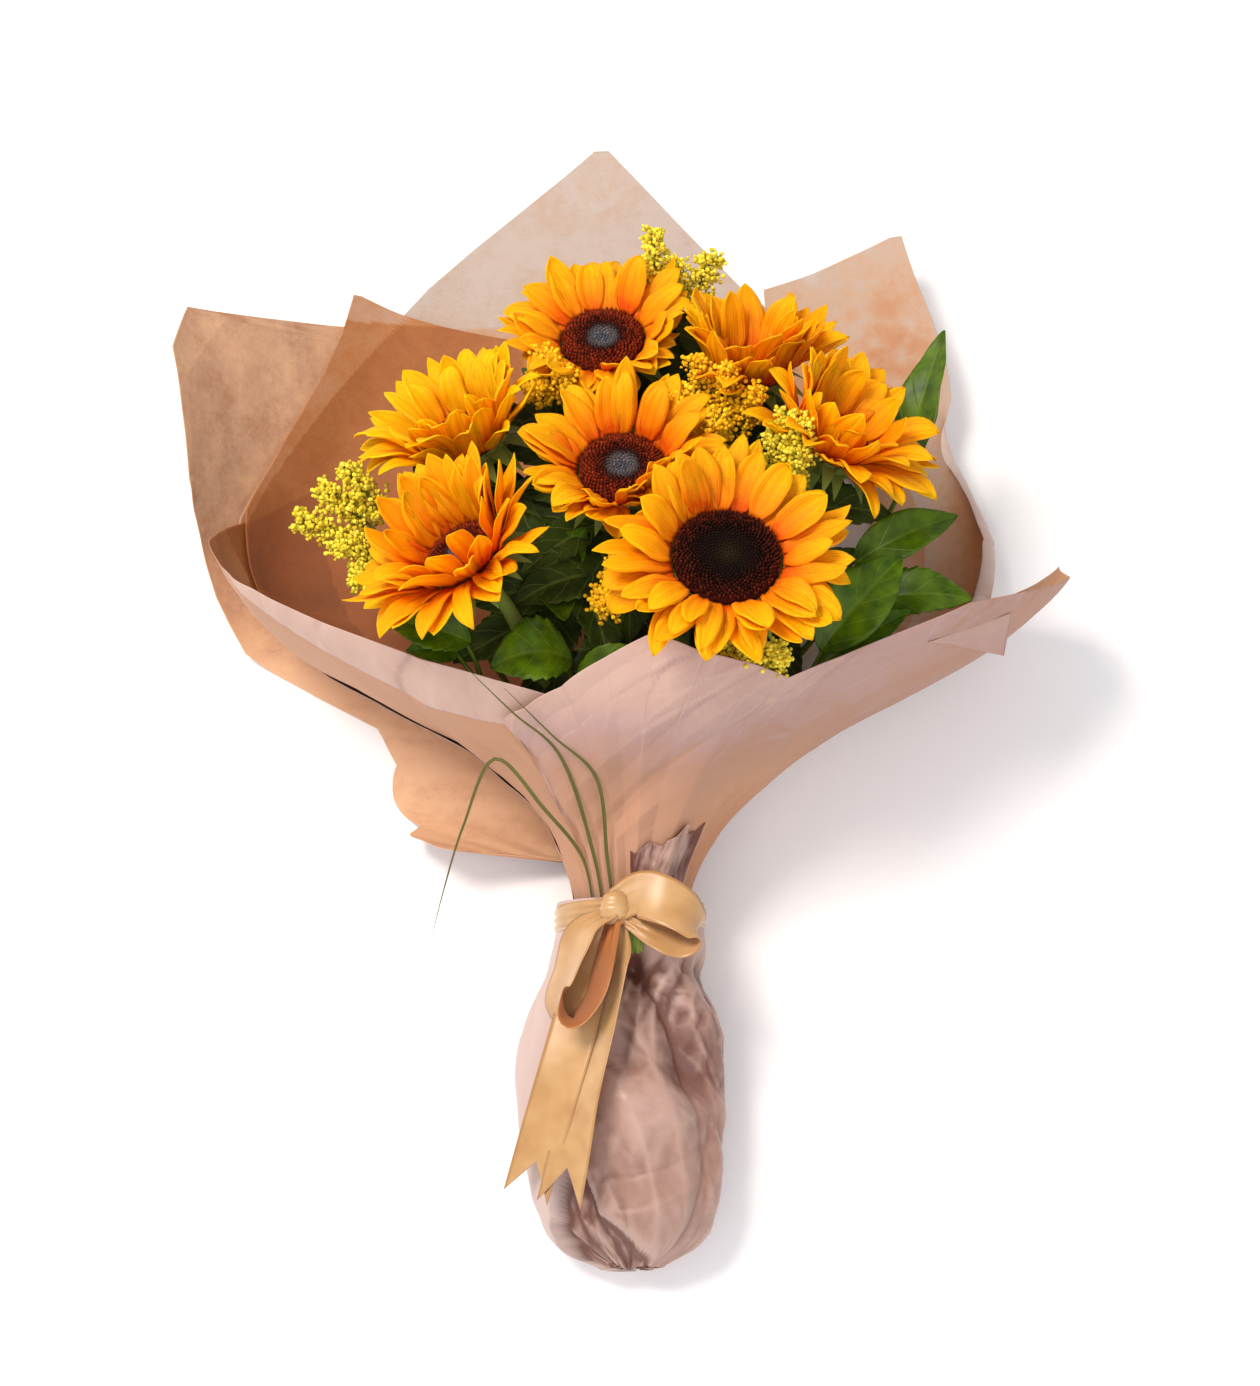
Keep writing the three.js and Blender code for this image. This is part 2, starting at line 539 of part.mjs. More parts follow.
// A plume: a tapering curve covered with small florets, as bumps that change from side to side.
function plume(fork, tip, thing) {
  const sag = V(0, 0, 6 + 5 * chance(thing, 11));
  const curve = new THREE.QuadraticBezierCurve3(fork, fork.clone().lerp(tip, 0.6).add(sag), tip);
  const steps = 5;
  const frames = curve.computeFrenetFrames(steps, false);
  const rings = [];
  for (let i = 0; i <= steps; i += 1) {
    const t = i / steps;
    const radius = t < 0.25 ? 1.2 : 6 * (1 - 0.5 * t);
    rings.push(Array.from({ length: 4 }, (_, k) => {
      const angle = (Math.PI * (k + 0.5 * (i % 2))) / 2;
      const bump = t < 0.25 ? 1 : 0.62 + 0.62 * ((i + k) % 2);
      return curve.getPoint(t)
        .addScaledVector(frames.normals[i], radius * bump * Math.cos(angle))
        .addScaledVector(frames.binormals[i], radius * bump * Math.sin(angle));
    }));
  }
  return loft(rings);
}

function goldenrod({ slot, fork, tips }, thing) {
  const top = V(...fork);
  const middle = stalkMiddle(inNeck(slot)[1], top);
  const stalk = tube([cutEnd(slot, thing), ...inNeck(slot), middle, top], 1.6, 1.4, 4, 7);
  return between(join([stalk, ...tips.map((tip, i) => plume(top, V(...tip), thing * 10 + i))]));
}

// The way a leaf's upper side faces, square to its rib.
function leafUpper({ base, tip, lean }) {
  const forward = V(...tip).sub(V(...base)).normalize();
  const upper = V(Math.sin(degrees(lean)), 0, Math.cos(degrees(lean)));
  return upper.addScaledVector(forward, -upper.dot(forward)).normalize();
}

// A point of a leaf's arched rib, from 0 at its base to 1 at its tip.
function leafRib(blade, t) {
  const arch = 4 * blade.arch * t * (1 - t);
  return V(...blade.base).lerp(V(...blade.tip), t).addScaledVector(leafUpper(blade), arch);
}

// A leaf: wide in the middle, folded along its rib, arched, with saw teeth along its edges.
function leaf(blade) {
  const { base, tip, width, teeth } = blade;
  const upper = leafUpper(blade);
  const across = upper.clone().cross(V(...tip).sub(V(...base)).normalize());
  const steps = teeth ? 7 : 5;
  const rings = [];
  for (let i = 0; i <= steps; i += 1) {
    const t = i / steps;
    const middle = leafRib(blade, t);
    const outline = Math.sin(Math.PI * t ** 0.8) ** 0.8;
    const half = 0.5 * width * (i === steps ? 0 : Math.max(0.12, outline * (1 + (i % 2 ? teeth : -teeth))));
    rings.push(half === 0 ? [middle] : [
      middle.clone().addScaledVector(across, half).addScaledVector(upper, 0.25 * half),
      middle.clone().addScaledVector(upper, 0.6),
      middle.clone().addScaledVector(across, -half).addScaledVector(upper, 0.25 * half),
      middle.clone().addScaledVector(upper, -0.6),
    ]);
  }
  return loft(rings);
}

function leafyStem({ slot, fork, blades }, thing) {
  const top = V(...fork);
  const middle = stalkMiddle(inNeck(slot)[1], top);
  const stalk = tube([cutEnd(slot, thing), ...inNeck(slot), middle, top], 1.6, 1.5, 4, 7);
  const pieces = blades.flatMap((blade) => {
    const path = [top, top.clone().lerp(V(...blade.base), 0.6), leafRib(blade, 0.08)];
    return [leaf(blade), tube(path, 1.5, 1.1, 4, 2)];
  });
  return between(join([stalk, ...pieces]));
}

// A blade of grass: a narrow strip that ends in a point.
function grassBlade({ angle, points }) {
  const lift = V(Math.cos(degrees(angle)), 0, 0).addScaledVector(FRONT, Math.sin(degrees(angle)));
  const tucked = [[-3, 2], [9, 2.2], [28, 5]].map(([distance, above]) => (
    funnel(SHEETS.wrap_front, angle, distance).addScaledVector(lift, above)));
  const path = [...tucked, ...points.map((point) => V(...point))];
  const curve = new THREE.CatmullRomCurve3(path, false, 'centripetal');
  const steps = 8;
  const rings = [];
  for (let i = 0; i <= steps; i += 1) {
    const middle = curve.getPointAt(i / steps);
    const across = curve.getTangentAt(i / steps).cross(V(0.2, -0.3, 1)).normalize();
    const upper = across.clone().cross(curve.getTangentAt(i / steps));
    const half = 1.6 * Math.min(1, 0.4 + (3 * i) / steps, 1.9 * (1 - i / steps));
    rings.push(i === steps ? [middle] : [
      middle.clone().addScaledVector(across, half),
      middle.clone().addScaledVector(upper, 0.4),
      middle.clone().addScaledVector(across, -half),
      middle.clone().addScaledVector(upper, -0.4),
    ]);
  }
  return loft(rings);
}

// ---------------------------------------------------------------- the bag round the stems
// Along the bag: place on Y, half-width, half-height and height of its middle.
const BAG = [[-169, 20, 10, 17], [-162, 36, 21, 24], [-146, 46, 29, 29], [-112, 52, 34, 34],
  [-70, 55.5, 36.5, 37], [-44, 49, 36.5, 37.5], [-26, 40.5, 36.3, 39.2],
  [-12, BAG_COLLAR, BAG_COLLAR, 42.8], [8, BAG_COLLAR, BAG_COLLAR, 48.1]];

function bagPoint(place, angle, inset) {
  const [halfWidth, halfHeight, middle] = [1, 2, 3].map((column) => along(BAG, place, column));
  const folds = 1.5 * Math.sin(4 * angle + 0.05 * place) + 1.1 * Math.sin(7 * angle - 0.09 * place);
  const out = ease(-place, 24, 60) * folds - inset;
  const tilt = RISE * ease(place, -62, -12);
  const height = (halfHeight + out) * Math.sin(angle);
  return V(
    (halfWidth + out) * Math.cos(angle),
    place - height * Math.sin(tilt),
    Math.max(middle + height * Math.cos(tilt), inset),
  );
}

// The top of the bag over a point of the table.
function bagTop(x, y) {
  const place = y + 8 * ease(y, -62, -12);
  return bagPoint(place, Math.acos(limit(x / along(BAG, place, 1), -1, 1)), 0).z;
}

function stemBag() {
  const sides = 16;
  const turns = Array.from({ length: sides }, (_, k) => (2 * Math.PI * k) / sides);
  const ring = (place, inset) => turns.map((turn) => bagPoint(place, turn, inset));
  const places = BAG.map((row) => row[0]);
  const inner = places.slice(1).map((place) => ring(place, BAG_WALL));
  const outer = places.map((place) => ring(place, 0)).reverse();
  return loft([[V(0, -160.5, 22)], ...inner, ...outer, [V(0, -170, 17)]]);
}

// ---------------------------------------------------------------- ribbon
// A flat strip along points, with a direction across at each of them.
function strip(points, across, steps, swallowtail = 0) {
  const curve = new THREE.CatmullRomCurve3(points, false, 'centripetal');
  const sides = new THREE.CatmullRomCurve3(across.map((side) => side.normalize()), false, 'centripetal');
  const rings = [];
  for (let i = 0; i <= steps; i += 1) {
    const t = i / steps;
    const middle = curve.getPoint(t);
    const forward = curve.getTangent(t);
    const side = sides.getPoint(t).addScaledVector(forward, -sides.getPoint(t).dot(forward)).normalize();
    const normal = side.clone().cross(forward).multiplyScalar(RIBBON.thickness / 2);
    const row = (swallowtail ? [-1, 0, 1] : [-1, 1]).map((s) => middle.clone()
      .addScaledVector(side, (s * RIBBON.width) / 2)
      .addScaledVector(forward, i === steps ? swallowtail * Math.abs(s) : 0));
    const under = row.map((point) => point.clone().sub(normal)).reverse();
    rings.push([...row.map((point) => point.clone().add(normal)), ...under]);
  }
  return loft(rings);
}

function ribbon() {
  const sides = 16;
  const half = RIBBON.gathered / 2;
  const [inside, outside] = [BAG_COLLAR + 0.7, BAG_COLLAR + 1.8];
  const band = solidRing(Array.from({ length: sides }, (_, k) => {
    const turn = (2 * Math.PI * k) / sides;
    const around = V(Math.cos(turn), 0, 0).addScaledVector(FRONT, Math.sin(turn));
    return [[inside, -half], [inside, half], [outside, half], [outside, -half]].map(([r, distance]) => (
      TIE.clone().addScaledVector(around, r).addScaledVector(AXIS, distance)));
  }));
  const knot = solidFrom(new THREE.SphereGeometry(1, 8, 5).scale(7.5, 9, 6).rotateX(RISE)
    .translate(...KNOT));
  const rightLoop = strip(
    [V(0, 1, 1), V(10, 5, 6), V(22, 1, 10), V(34, -6, 9), V(40, -13, 4), V(34, -17, 2), V(21, -13, 3),
      V(6, -4, 2)].map((point) => point.add(V(...KNOT))),
    [V(0.2, 0.9, 0.3), V(0.25, 0.9, 0.2), V(0.3, 0.85, 0.1), V(0.42, 0.75, -0.1), V(0.5, 0.6, -0.3),
      V(0.4, 0.6, -0.4), V(0.2, 0.8, -0.3), V(0, 0.9, 0.2)],
    7,
  );
  const over = (x, y, lift) => V(x, y, bagTop(x, y) + lift);
  const slope = (x, y) => V(24, 0, bagTop(x + 12, y) - bagTop(x - 12, y));
  const [knotX, knotY, knotZ] = KNOT;
  const leftLoop = strip(
    [V(knotX - 1, knotY - 1, knotZ + 3), over(-23, -19, 21), over(-31, -38, 19), over(-35, -53, 19),
      over(-27, -65, 18), over(-18, -55, 17), over(-13, -36, 15), V(knotX - 1, knotY - 3, knotZ - 1)],
    [V(0.6, -0.5, 0.4), V(0.62, -0.42, 0.5), V(0.45, -0.4, 0.8), V(0.4, -0.4, 0.82), V(0.3, -0.45, 0.82),
      V(0.35, -0.4, 0.82), V(0.45, -0.35, 0.8), V(0.7, -0.2, 0.6)],
    7,
  );
  const tailLeft = strip(
    [V(knotX - 2, knotY - 3, knotZ), over(-20, -37, 9), over(-28, -70, 9), over(-38, -104, 12),
      V(-47.5, -135, 60)],
    [V(1, 0, 0), slope(-20, -37), slope(-28, -70), V(1, -0.1, 0.45), V(1, -0.1, 0.5)],
    5,
    SWALLOWTAIL,
  );
  const tailRight = strip(
    [V(knotX, knotY - 3, knotZ), over(-10, -38, 8), over(-15.5, -70, 9), over(-24, -104, 10),
      over(-32, -141, 15)],
    [V(1, 0, 0), slope(-10, -38), slope(-15.5, -70), slope(-24, -104), slope(-32, -141)],
    5,
    SWALLOWTAIL,
  );
  return join([band, knot, rightLoop, leftLoop, tailLeft, tailRight]);
}

// A ring through rings of points that closes on itself.
function solidRing(rings) {
  const count = rings[0].length;
  const points = rings.flat();
  const faces = [];
  rings.forEach((_, i) => {
    const [a, b] = [i * count, ((i + 1) % rings.length) * count];
    for (let k = 0; k < count; k += 1) {
      const next = (k + 1) % count;
      faces.push(a + k, a + next, b + next, a + k, b + next, b + k);
    }
  });
  return solidOf(points, faces);
}

function solidFrom(geometry) {
  geometry.deleteAttribute('normal');
  geometry.deleteAttribute('uv');
  const merged = mergeVertices(geometry, 1e-4);
  const mesh = new wasm.Mesh({
    numProp: 3,
    vertProperties: Float32Array.from(merged.attributes.position.array),
    triVerts: Uint32Array.from(merged.index.array),
  });
  mesh.merge();
  return new wasm.Manifold(mesh);
}

// ---------------------------------------------------------------- the bunch
const bunch = new THREE.Group();

function add(name, solid, look) {
  const mesh = solid.getMesh();
  const geometry = new THREE.BufferGeometry();
  const corners = new Float32Array(mesh.numVert * 3);
  for (let i = 0; i < mesh.numVert; i += 1) {
    for (let k = 0; k < 3; k += 1) corners[3 * i + k] = mesh.vertProperties[mesh.numProp * i + k];
  }
  geometry.setAttribute('position', new THREE.BufferAttribute(corners, 3));
  geometry.setIndex(new THREE.BufferAttribute(Uint32Array.from(mesh.triVerts), 1));
  const piece = new THREE.Mesh(geometry, new THREE.MeshStandardMaterial(look));
  piece.name = name;
  bunch.add(piece);
}

SUNFLOWERS.forEach((_, head) => {
  const name = `sunflower_${head + 1}`;
  add(`${name}_petals`, petals(head), head === 4 ? LEMON_PETAL : PETAL);
  add(`${name}_disc`, disc(head), FLORETS);
  add(`${name}_stem`, stem(head), STEM_GREEN);
});
Object.entries(GOLDENROD).forEach(([name, spray], i) => {
  add(`goldenrod_${name}`, goldenrod(spray, 10 + i), GOLDENROD_YELLOW);
});
Object.entries(LEAFY_STEMS).forEach(([name, leaves], i) => {
  add(`leaves_${name}`, leafyStem(leaves, 20 + i), LEAF_GREEN);
});
Object.entries(GRASS).forEach(([name, blade]) => add(`grass_${name}`, grassBlade(blade), GRASS_GREEN));
Object.entries(SHEETS).forEach(([name, sheet]) => {
  add(name, paperSheet(sheet), name === 'wrap_front' ? PALE_KRAFT : KRAFT);
});
add('stem_bag', stemBag(), BAG_PAPER);
add('satin_ribbon', ribbon(), SATIN);

// The origin is on the table under the middle of the bunch.
const box = new THREE.Box3().setFromObject(bunch);
const centre = box.getCenter(V(0, 0, 0));
bunch.position.set(-centre.x, -centre.y, -box.min.z);

export default bunch;
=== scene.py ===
# %% [markdown]
# # A wrapped bunch of sunflowers
# This is a florist's hand-tied bunch: seven sunflowers with goldenrod and green leaves, in sheets
# of thin kraft paper, with a paper bag over the stems and a satin bow round the neck. It lies on
# its back. Each solid of the load is replaced here by a finer surface that keeps its form.

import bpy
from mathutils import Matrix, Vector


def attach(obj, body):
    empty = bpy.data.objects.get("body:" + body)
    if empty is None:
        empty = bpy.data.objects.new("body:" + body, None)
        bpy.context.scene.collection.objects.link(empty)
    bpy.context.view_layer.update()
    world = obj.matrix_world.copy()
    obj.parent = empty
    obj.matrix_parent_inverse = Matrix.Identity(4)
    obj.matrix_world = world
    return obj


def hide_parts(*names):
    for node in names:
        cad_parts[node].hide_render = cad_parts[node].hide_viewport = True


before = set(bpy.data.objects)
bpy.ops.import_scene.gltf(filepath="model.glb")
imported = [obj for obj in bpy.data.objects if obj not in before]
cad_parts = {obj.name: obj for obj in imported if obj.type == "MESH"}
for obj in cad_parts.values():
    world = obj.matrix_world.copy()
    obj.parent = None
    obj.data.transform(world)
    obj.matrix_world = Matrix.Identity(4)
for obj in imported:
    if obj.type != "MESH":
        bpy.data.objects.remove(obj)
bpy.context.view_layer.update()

import math

import bmesh
import bpy
import numpy as np

# %% [markdown]
# ## Numbers that several pieces share
# Nature never repeats itself, so each petal and floret needs its own small differences. A sine
# wave scrambled into a number from 0 to 1 gives the same "luck" on every run. All places below
# are in millimetres from the foot of the tie, the spot on the table under the ribbon.

# %% Luck, colours and smooth steps
MM = 0.001
FOOT = np.array([8.76, -155.57, 0.0])  # the foot of the tie, from the object's origin
X_AXIS = np.array([1.0, 0.0, 0.0])


def chance(thing, trait):
    """The fraction after the point of sin(12.9898 thing + 78.233 trait) times 43758.5453."""
    wave = np.sin(np.asarray(thing) * 12.9898 + trait * 78.233) * 43758.5453
    return wave - np.floor(wave)


def linear(colour):
    """An sRGB hex colour as linear red, green, blue and alpha."""
    srgb = np.array([int(colour[i:i + 2], 16) for i in (1, 3, 5)]) / 255
    light = np.where(srgb <= 0.04045, srgb / 12.92, ((srgb + 0.055) / 1.055) ** 2.4)
    return (*light.tolist(), 1.0)


def ease(x, start, end):
    """0 before start and 1 after end, and 3 t^2 - 2 t^3 between them."""
    t = np.clip((np.asarray(x, float) - start) / (end - start), 0, 1)
    return t * t * (3 - 2 * t)


def unit(vectors):
    """The same directions with length 1."""
    return vectors / np.maximum(np.linalg.norm(vectors, axis=-1, keepdims=True), 1e-9)


def turned(angle, first, second):
    """cos(angle) first + sin(angle) second: a direction swung from first towards second."""
    return np.cos(angle)[..., None] * first + np.sin(angle)[..., None] * second


def whole_turn(count):
    """count angles, evenly round a circle."""
    return np.linspace(0, 2 * np.pi, count, endpoint=False)


def fold(x):
    """A wave of straight creases: 0 at whole numbers and 1 half-way between them."""
    return 2 * np.abs(x - np.round(x))


def facets(u, v, thing):
    """Crumpled paper, 0 to 1: random heights at the corners of a net of triangles one unit wide,
    joined by flat facets, so that every edge of the net becomes a sharp crease."""
    skew = (np.asarray(u) + v) * 0.366
    a, b = u + skew + 0.22 * np.sin(2.1 * v + thing), v + skew + 0.22 * np.sin(1.7 * u + 2 * thing)
    i, j = np.floor(a), np.floor(b)
    a, b = a - i, b - j

    def corner(di, dj):
        """The random height of the net's corner that many steps on."""
        return chance((i + di) * 57.31 + (j + dj) * 131.7 + 7 * thing, 71)

    first = np.where(a > b, corner(1, 0), corner(0, 1))
    high, low = np.maximum(a, b), np.minimum(a, b)
    return corner(0, 0) * (1 - high) + first * (high - low) + corner(1, 1) * low


def crease_lines(height, reach=1):
    """How far each point of a height field lies under the mean of its neighbours, up to reach
    steps away: above 0 in a valley fold, below 0 on a ridge."""
    wide = np.pad(height, reach, mode="edge")
    rows, columns = height.shape
    steps = range(2 * reach + 1)
    around = sum(wide[i:i + rows, j:j + columns] for i in steps for j in steps)
    return around / len(steps) ** 2 - height


print("luck of thing 1:", np.round(chance(1, np.arange(4)), 3))

# %% [markdown]
# ## From arrays to meshes
# Every surface here is a grid of points worked out as whole arrays. One helper turns a grid, or
# many grids at once, into faces. Another makes the mesh, welds its seams and gives each point the
# numbers that its material reads, such as how far along a petal it lies. It also puts the piece
# in the place of its solids, and prints how many faces it has.

# %% Grids, meshes and pieces
WELD = 1e-6  # points nearer than this, in metres, are one point


def grid_faces(rows, columns, closed=False, patches=1):
    """Four corners of each grid cell; closed joins the last column to the first."""
    across = columns if closed else columns - 1
    i, j = np.meshgrid(np.arange(rows - 1), np.arange(across), indexing="ij")
    here, right = i * columns + j, i * columns + (j + 1) % columns
    cells = np.stack([here, right, right + columns, here + columns], -1).reshape(-1, 4)
    return (cells + np.arange(patches)[:, None, None] * rows * columns).reshape(-1, 4)


def split(quads):
    """Each four-sided face as two triangles."""
    return np.concatenate([quads[:, [0, 1, 2]], quads[:, [0, 2, 3]]])


def join_parts(*parts):
    """Puts parts, each (points, faces, values by name), into one; a missing value is 0."""
    names = sorted({name for part in parts for name in part[2]})
    points, faces, values, start = [], [], {name: [] for name in names}, 0
    for part_points, part_faces, part_values in parts:
        flat = np.asarray(part_points).reshape(-1, 3)
        points.append(flat)
        faces.append(np.asarray(part_faces) + start)
        for name in names:
            given = np.broadcast_to(part_values.get(name, 0.0), np.shape(part_points)[:-1])
            values[name].append(given.reshape(-1))
        start += len(flat)
    return np.concatenate(points), np.concatenate(faces), {k: np.concatenate(v) for k, v in values.items()}


def make_piece(name, part, materials, replaced=(), thickness=0.0):
    """A piece from (points in mm, faces, values). thickness in mm makes a sheet of it, half to each
    side, and the last material goes on the side that this adds."""
    points, faces, values = join_parts(part)
    mesh = bpy.data.meshes.new(name)
    mesh.vertices.add(len(points))
    mesh.vertices.foreach_set("co", ((points + FOOT) * MM).ravel())
    mesh.loops.add(faces.size)
    mesh.loops.foreach_set("vertex_index", faces.ravel())
    mesh.polygons.add(len(faces))
    mesh.polygons.foreach_set("loop_start", np.arange(0, faces.size, faces.shape[1]))
    mesh.update(calc_edges=True)
    for value_name, numbers in values.items():
        layer = mesh.attributes.new(value_name, "FLOAT", "POINT")
        layer.data.foreach_set("value", numbers.astype(float))
    soup = bmesh.new()
    soup.from_mesh(mesh)
    bmesh.ops.remove_doubles(soup, verts=soup.verts, dist=WELD)
    soup.to_mesh(mesh)
    soup.free()
    mesh.shade_smooth()
    for material in materials:
        mesh.materials.append(material)
    made = bpy.data.objects.new(name, mesh)
    bpy.context.scene.collection.objects.link(made)
    if thickness:
        shell = made.modifiers.new("thickness", "SOLIDIFY")
        shell.thickness = thickness * MM
        shell.offset = 0
        shell.material_offset = len(materials) - 1
        shell.material_offset_rim = 0
    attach(made, "root")
    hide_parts(*replaced)
    print(name, "faces:", len(mesh.polygons))
    return made


# %% [markdown]
# ## Curves and tubes
# Stems, stalks and ribbons follow smooth curves through a few points. The centripetal
# Catmull-Rom curve passes through every point and doesn't overshoot where they lie unevenly.

# %% Curves and tubes
def curve(points, count, even=True):
    """count points on the centripetal Catmull-Rom curve: each span is a cubic whose end slopes
    weigh the neighbouring chords by the square roots of their lengths. even spaces by length."""
    points = np.asarray(points, float)
    held = np.vstack([2 * points[0] - points[1], points, 2 * points[-1] - points[-2]])
    place = np.linspace(0, len(points) - 1, 40 * (len(points) - 1) + 1)
    span = np.minimum(place.astype(int), len(points) - 2)
    t = (place - span)[:, None]
    a, b, c, d = (held[span + k] for k in range(4))
    ab, bc, cd = (np.sqrt(np.linalg.norm(q - p, axis=1))[:, None] for p, q in ((a, b), (b, c), (c, d)))
    leave = ((b - a) / ab - (c - a) / (ab + bc) + (c - b) / bc) * bc
    arrive = ((c - b) / bc - (d - b) / (bc + cd) + (d - c) / cd) * bc
    line = (b + leave * t + (3 * (c - b) - 2 * leave - arrive) * t ** 2
            + (2 * (b - c) + leave + arrive) * t ** 3)
    steps = np.linalg.norm(np.diff(line, axis=0), axis=1)
    length = np.concatenate([[0], np.cumsum(steps)]) if even else place
    wanted = np.linspace(0, length[-1], count)
    return np.stack([np.interp(wanted, length, line[:, k]) for k in range(3)], -1)


def tube(path, radii, sides):
    """A round tube with closed ends: path + radius (cos a side + sin a up), where side is the
    X axis made square to the path, and up is square to both."""
    forward = unit(np.gradient(path, axis=0))
    side = unit(X_AXIS - (forward @ X_AXIS)[:, None] * forward)
    up = np.cross(forward, side)
    ring = turned(whole_turn(sides), side[:, None], up[:, None])
    radii = np.broadcast_to(radii, len(path))
    body = path[:, None] + radii[:, None, None] * ring
    ends = [np.repeat(path[k][None, None], sides, axis=1) for k in (0, -1)]
    points = np.concatenate([ends[0], body, ends[1]])
    return points, grid_faces(len(points), sides, closed=True)


# %% [markdown]
# ## One helper for shader nodes
# A finish is a small network: patterns read the point's place or its values, mix colours, and
# feed the main shader. Colours are written as sRGB hex, as a paint chart gives them, and pattern
# sizes in millimetres.

# %% Shader nodes
def add(material, kind, inputs=None, stops=(), **settings):
    """Adds one shader node with its settings. inputs are numbers, colours or sockets to link, and
    stops are a colour ramp's (position, hex colour) pairs."""
    tree = material.node_tree
    made = tree.nodes.new("ShaderNode" + kind)
    for name, value in settings.items():
        setattr(made, name, value)
    for k, (position, colour) in enumerate(stops):
        spot = made.color_ramp.elements[k] if k < 2 else made.color_ramp.elements.new(position)
        spot.position = position
        spot.color = linear(colour)
    for name, value in (inputs or {}).items():
        if isinstance(value, bpy.types.NodeSocket):
            tree.links.new(value, made.inputs[name])
        else:
            made.inputs[name].default_value = value
    return made


def new_material(name):
    """A material without any nodes, for the ones that a finish adds."""
    material = bpy.data.materials.new(name)
    material.use_nodes = True
    material.node_tree.nodes.clear()
    return material


def size(mm):
    """The scale of a pattern whose features are that many millimetres across."""
    return 1 / (mm * MM)


# %% [markdown]
# ## Kraft wrapping paper
# Florists use a thin, unbleached kraft of about 40 g/m2. It is made of long brown fibres pressed
# between rollers, so it has a cloudy, mottled look and a soft, dry surface. It lets some light
# through, and the shade that the sheets give each other is painted in: each sheet that lies behind
# another makes it darker and redder. The number of sheets behind a point is worked out below and
# kept as the value depth, which also gets painted shade near the tie and along valley folds, and
# painted light on ridges. The side that faces outwards is smoother and pinker than the side that
# faces the flowers, and its own value shade makes it browner with the same painted shade near the
# tie and in folds, and lighter on ridges. The loose sheet on the left has the window's light
# painted on its inner side: a paler, warmer copy of the paper, whose clouds show more.

# %% Kraft paper, inner and outer side
def kraft(name, value, stops, mottle, roughness):
    """The named value plus clouds of 30 mm, flecks of 5 mm and fibres of 1.2 mm picks the colour
    between 0 and 3; fibres of 0.9 mm make the bump."""
    material = new_material(name)
    here = add(material, "TexCoord").outputs["Object"]
    level = add(material, "Attribute", attribute_name=value).outputs["Fac"]
    for width, strength in ((30, 1.0), (5, 0.55), (1.2, 0.45)):
        cloud = add(material, "TexNoise", {"Vector": here, "Scale": size(width), "Detail": 5.0,
                                           "Roughness": 0.62, "Distortion": 0.4})
        change = add(material, "Math", {0: cloud.outputs["Fac"], 1: -0.5}, operation="ADD")
        level = add(material, "Math", {0: change.outputs[0], 1: mottle * strength, 2: level},
                    operation="MULTIPLY_ADD").outputs[0]
    third = add(material, "Math", {0: level, 1: 1 / 3}, operation="MULTIPLY")
    colour = add(material, "ValToRGB", {"Fac": third.outputs[0]}, stops=stops)
    fibres = add(material, "TexNoise", {"Vector": here, "Scale": size(0.9), "Detail": 3.0})
    bump = add(material, "Bump", {"Height": fibres.outputs["Fac"], "Strength": 0.3, "Distance": 0.2 * MM})
    shader = add(material, "BsdfPrincipled", {
        "Base Color": colour.outputs["Color"], "Roughness": roughness, "IOR": 1.5,
        "Normal": bump.outputs["Normal"]})
    add(material, "OutputMaterial", {"Surface": shader.outputs["BSDF"]})
    return material


KRAFT_INSIDE = kraft(
    "thin_unbleached_kraft_inside", "depth",
    [(0.0, "#BEABA0"), (1.0, "#66381A"), (0.05, "#BAA292"), (0.12, "#BF9C83"), (0.2, "#BE8D6B"),
     (0.36, "#B1713F"), (0.53, "#9B5928"), (0.76, "#884920")],
    mottle=0.8, roughness=0.75)
# A paler, warmer copy of the inside paper: painted window light on the loose left sheet.
KRAFT_SUNLIT = kraft(
    "thin_unbleached_kraft_sunlit", "depth",
    [(0.0, "#DCB08A"), (1.0, "#66381A"), (0.07, "#D6A882"), (0.14, "#C99C7B"), (0.22, "#B9855F"),
     (0.4, "#A56B3C")],
    mottle=1.1, roughness=0.75)
KRAFT_OUTSIDE = kraft(
    "thin_unbleached_kraft_outside", "shade",
    [(0.0, "#D0B8AE"), (1.0, "#A7653B"), (0.16, "#C8A99A"), (0.3, "#BC998A"), (0.38, "#AE8C84"),
     (0.5, "#AA7F68"), (0.7, "#B88766")],
    mottle=0.4, roughness=0.62)
print("paper:", KRAFT_INSIDE.name, KRAFT_SUNLIT.name, KRAFT_OUTSIDE.name)

# %% [markdown]
# ## The funnel of paper
# The sheets are wound round the stems and open into a wide, shallow funnel. One formula gives the
# point at an angle round the neck and a distance from the tie, for each layer, so the sheets lie
# on each other and never cross. On the underside the funnel is pressed flat by the table.

# %% The funnel's formula
TIE = np.array([0.0, 0.0, 46.0])
RISE = math.radians(15)
AXIS = np.array([0.0, math.cos(RISE), math.sin(RISE)])
FRONT = np.array([0.0, -math.sin(RISE), math.cos(RISE)])
NECK_RADIUS = 24
HALF_WIDTH, FRONT_DEPTH, BACK_DEPTH = 225, 95, 143
# Each flare is half-way at so many mm from the tie, and rises over so many mm.
WIDTH_FLARE, FRONT_FLARE, BACK_FLARE = (115, 28), (90, 26), (90, 30)
LOOSE_WIDTH_FLARE, LOOSE_BACK_FLARE = (45, 11), (64, 18)
# A layer with its creases takes 3 mm on the table, where the paper is pressed, and 3.6 mm
# elsewhere. The middle of the lowest one lies half of PAPER over the table. The outermost layer is
# the loose sheet on the left.
PAPER = 0.8
STEP_ON_TABLE, STEP_FREE = 3, 3.6
LOOSE = 3
BEND = 14  # how softly the paper turns from its slope on to the table


def flare(distance, middle, softness, narrow, wide):
    """narrow at the tie and wide far from it, by a logistic rise round middle."""
    start = 1 / (1 + np.exp(middle / softness))
    now = 1 / (1 + np.exp((middle - np.maximum(distance, 0)) / softness))
    return narrow + (wide - narrow) * (now - start) / (1 - start)


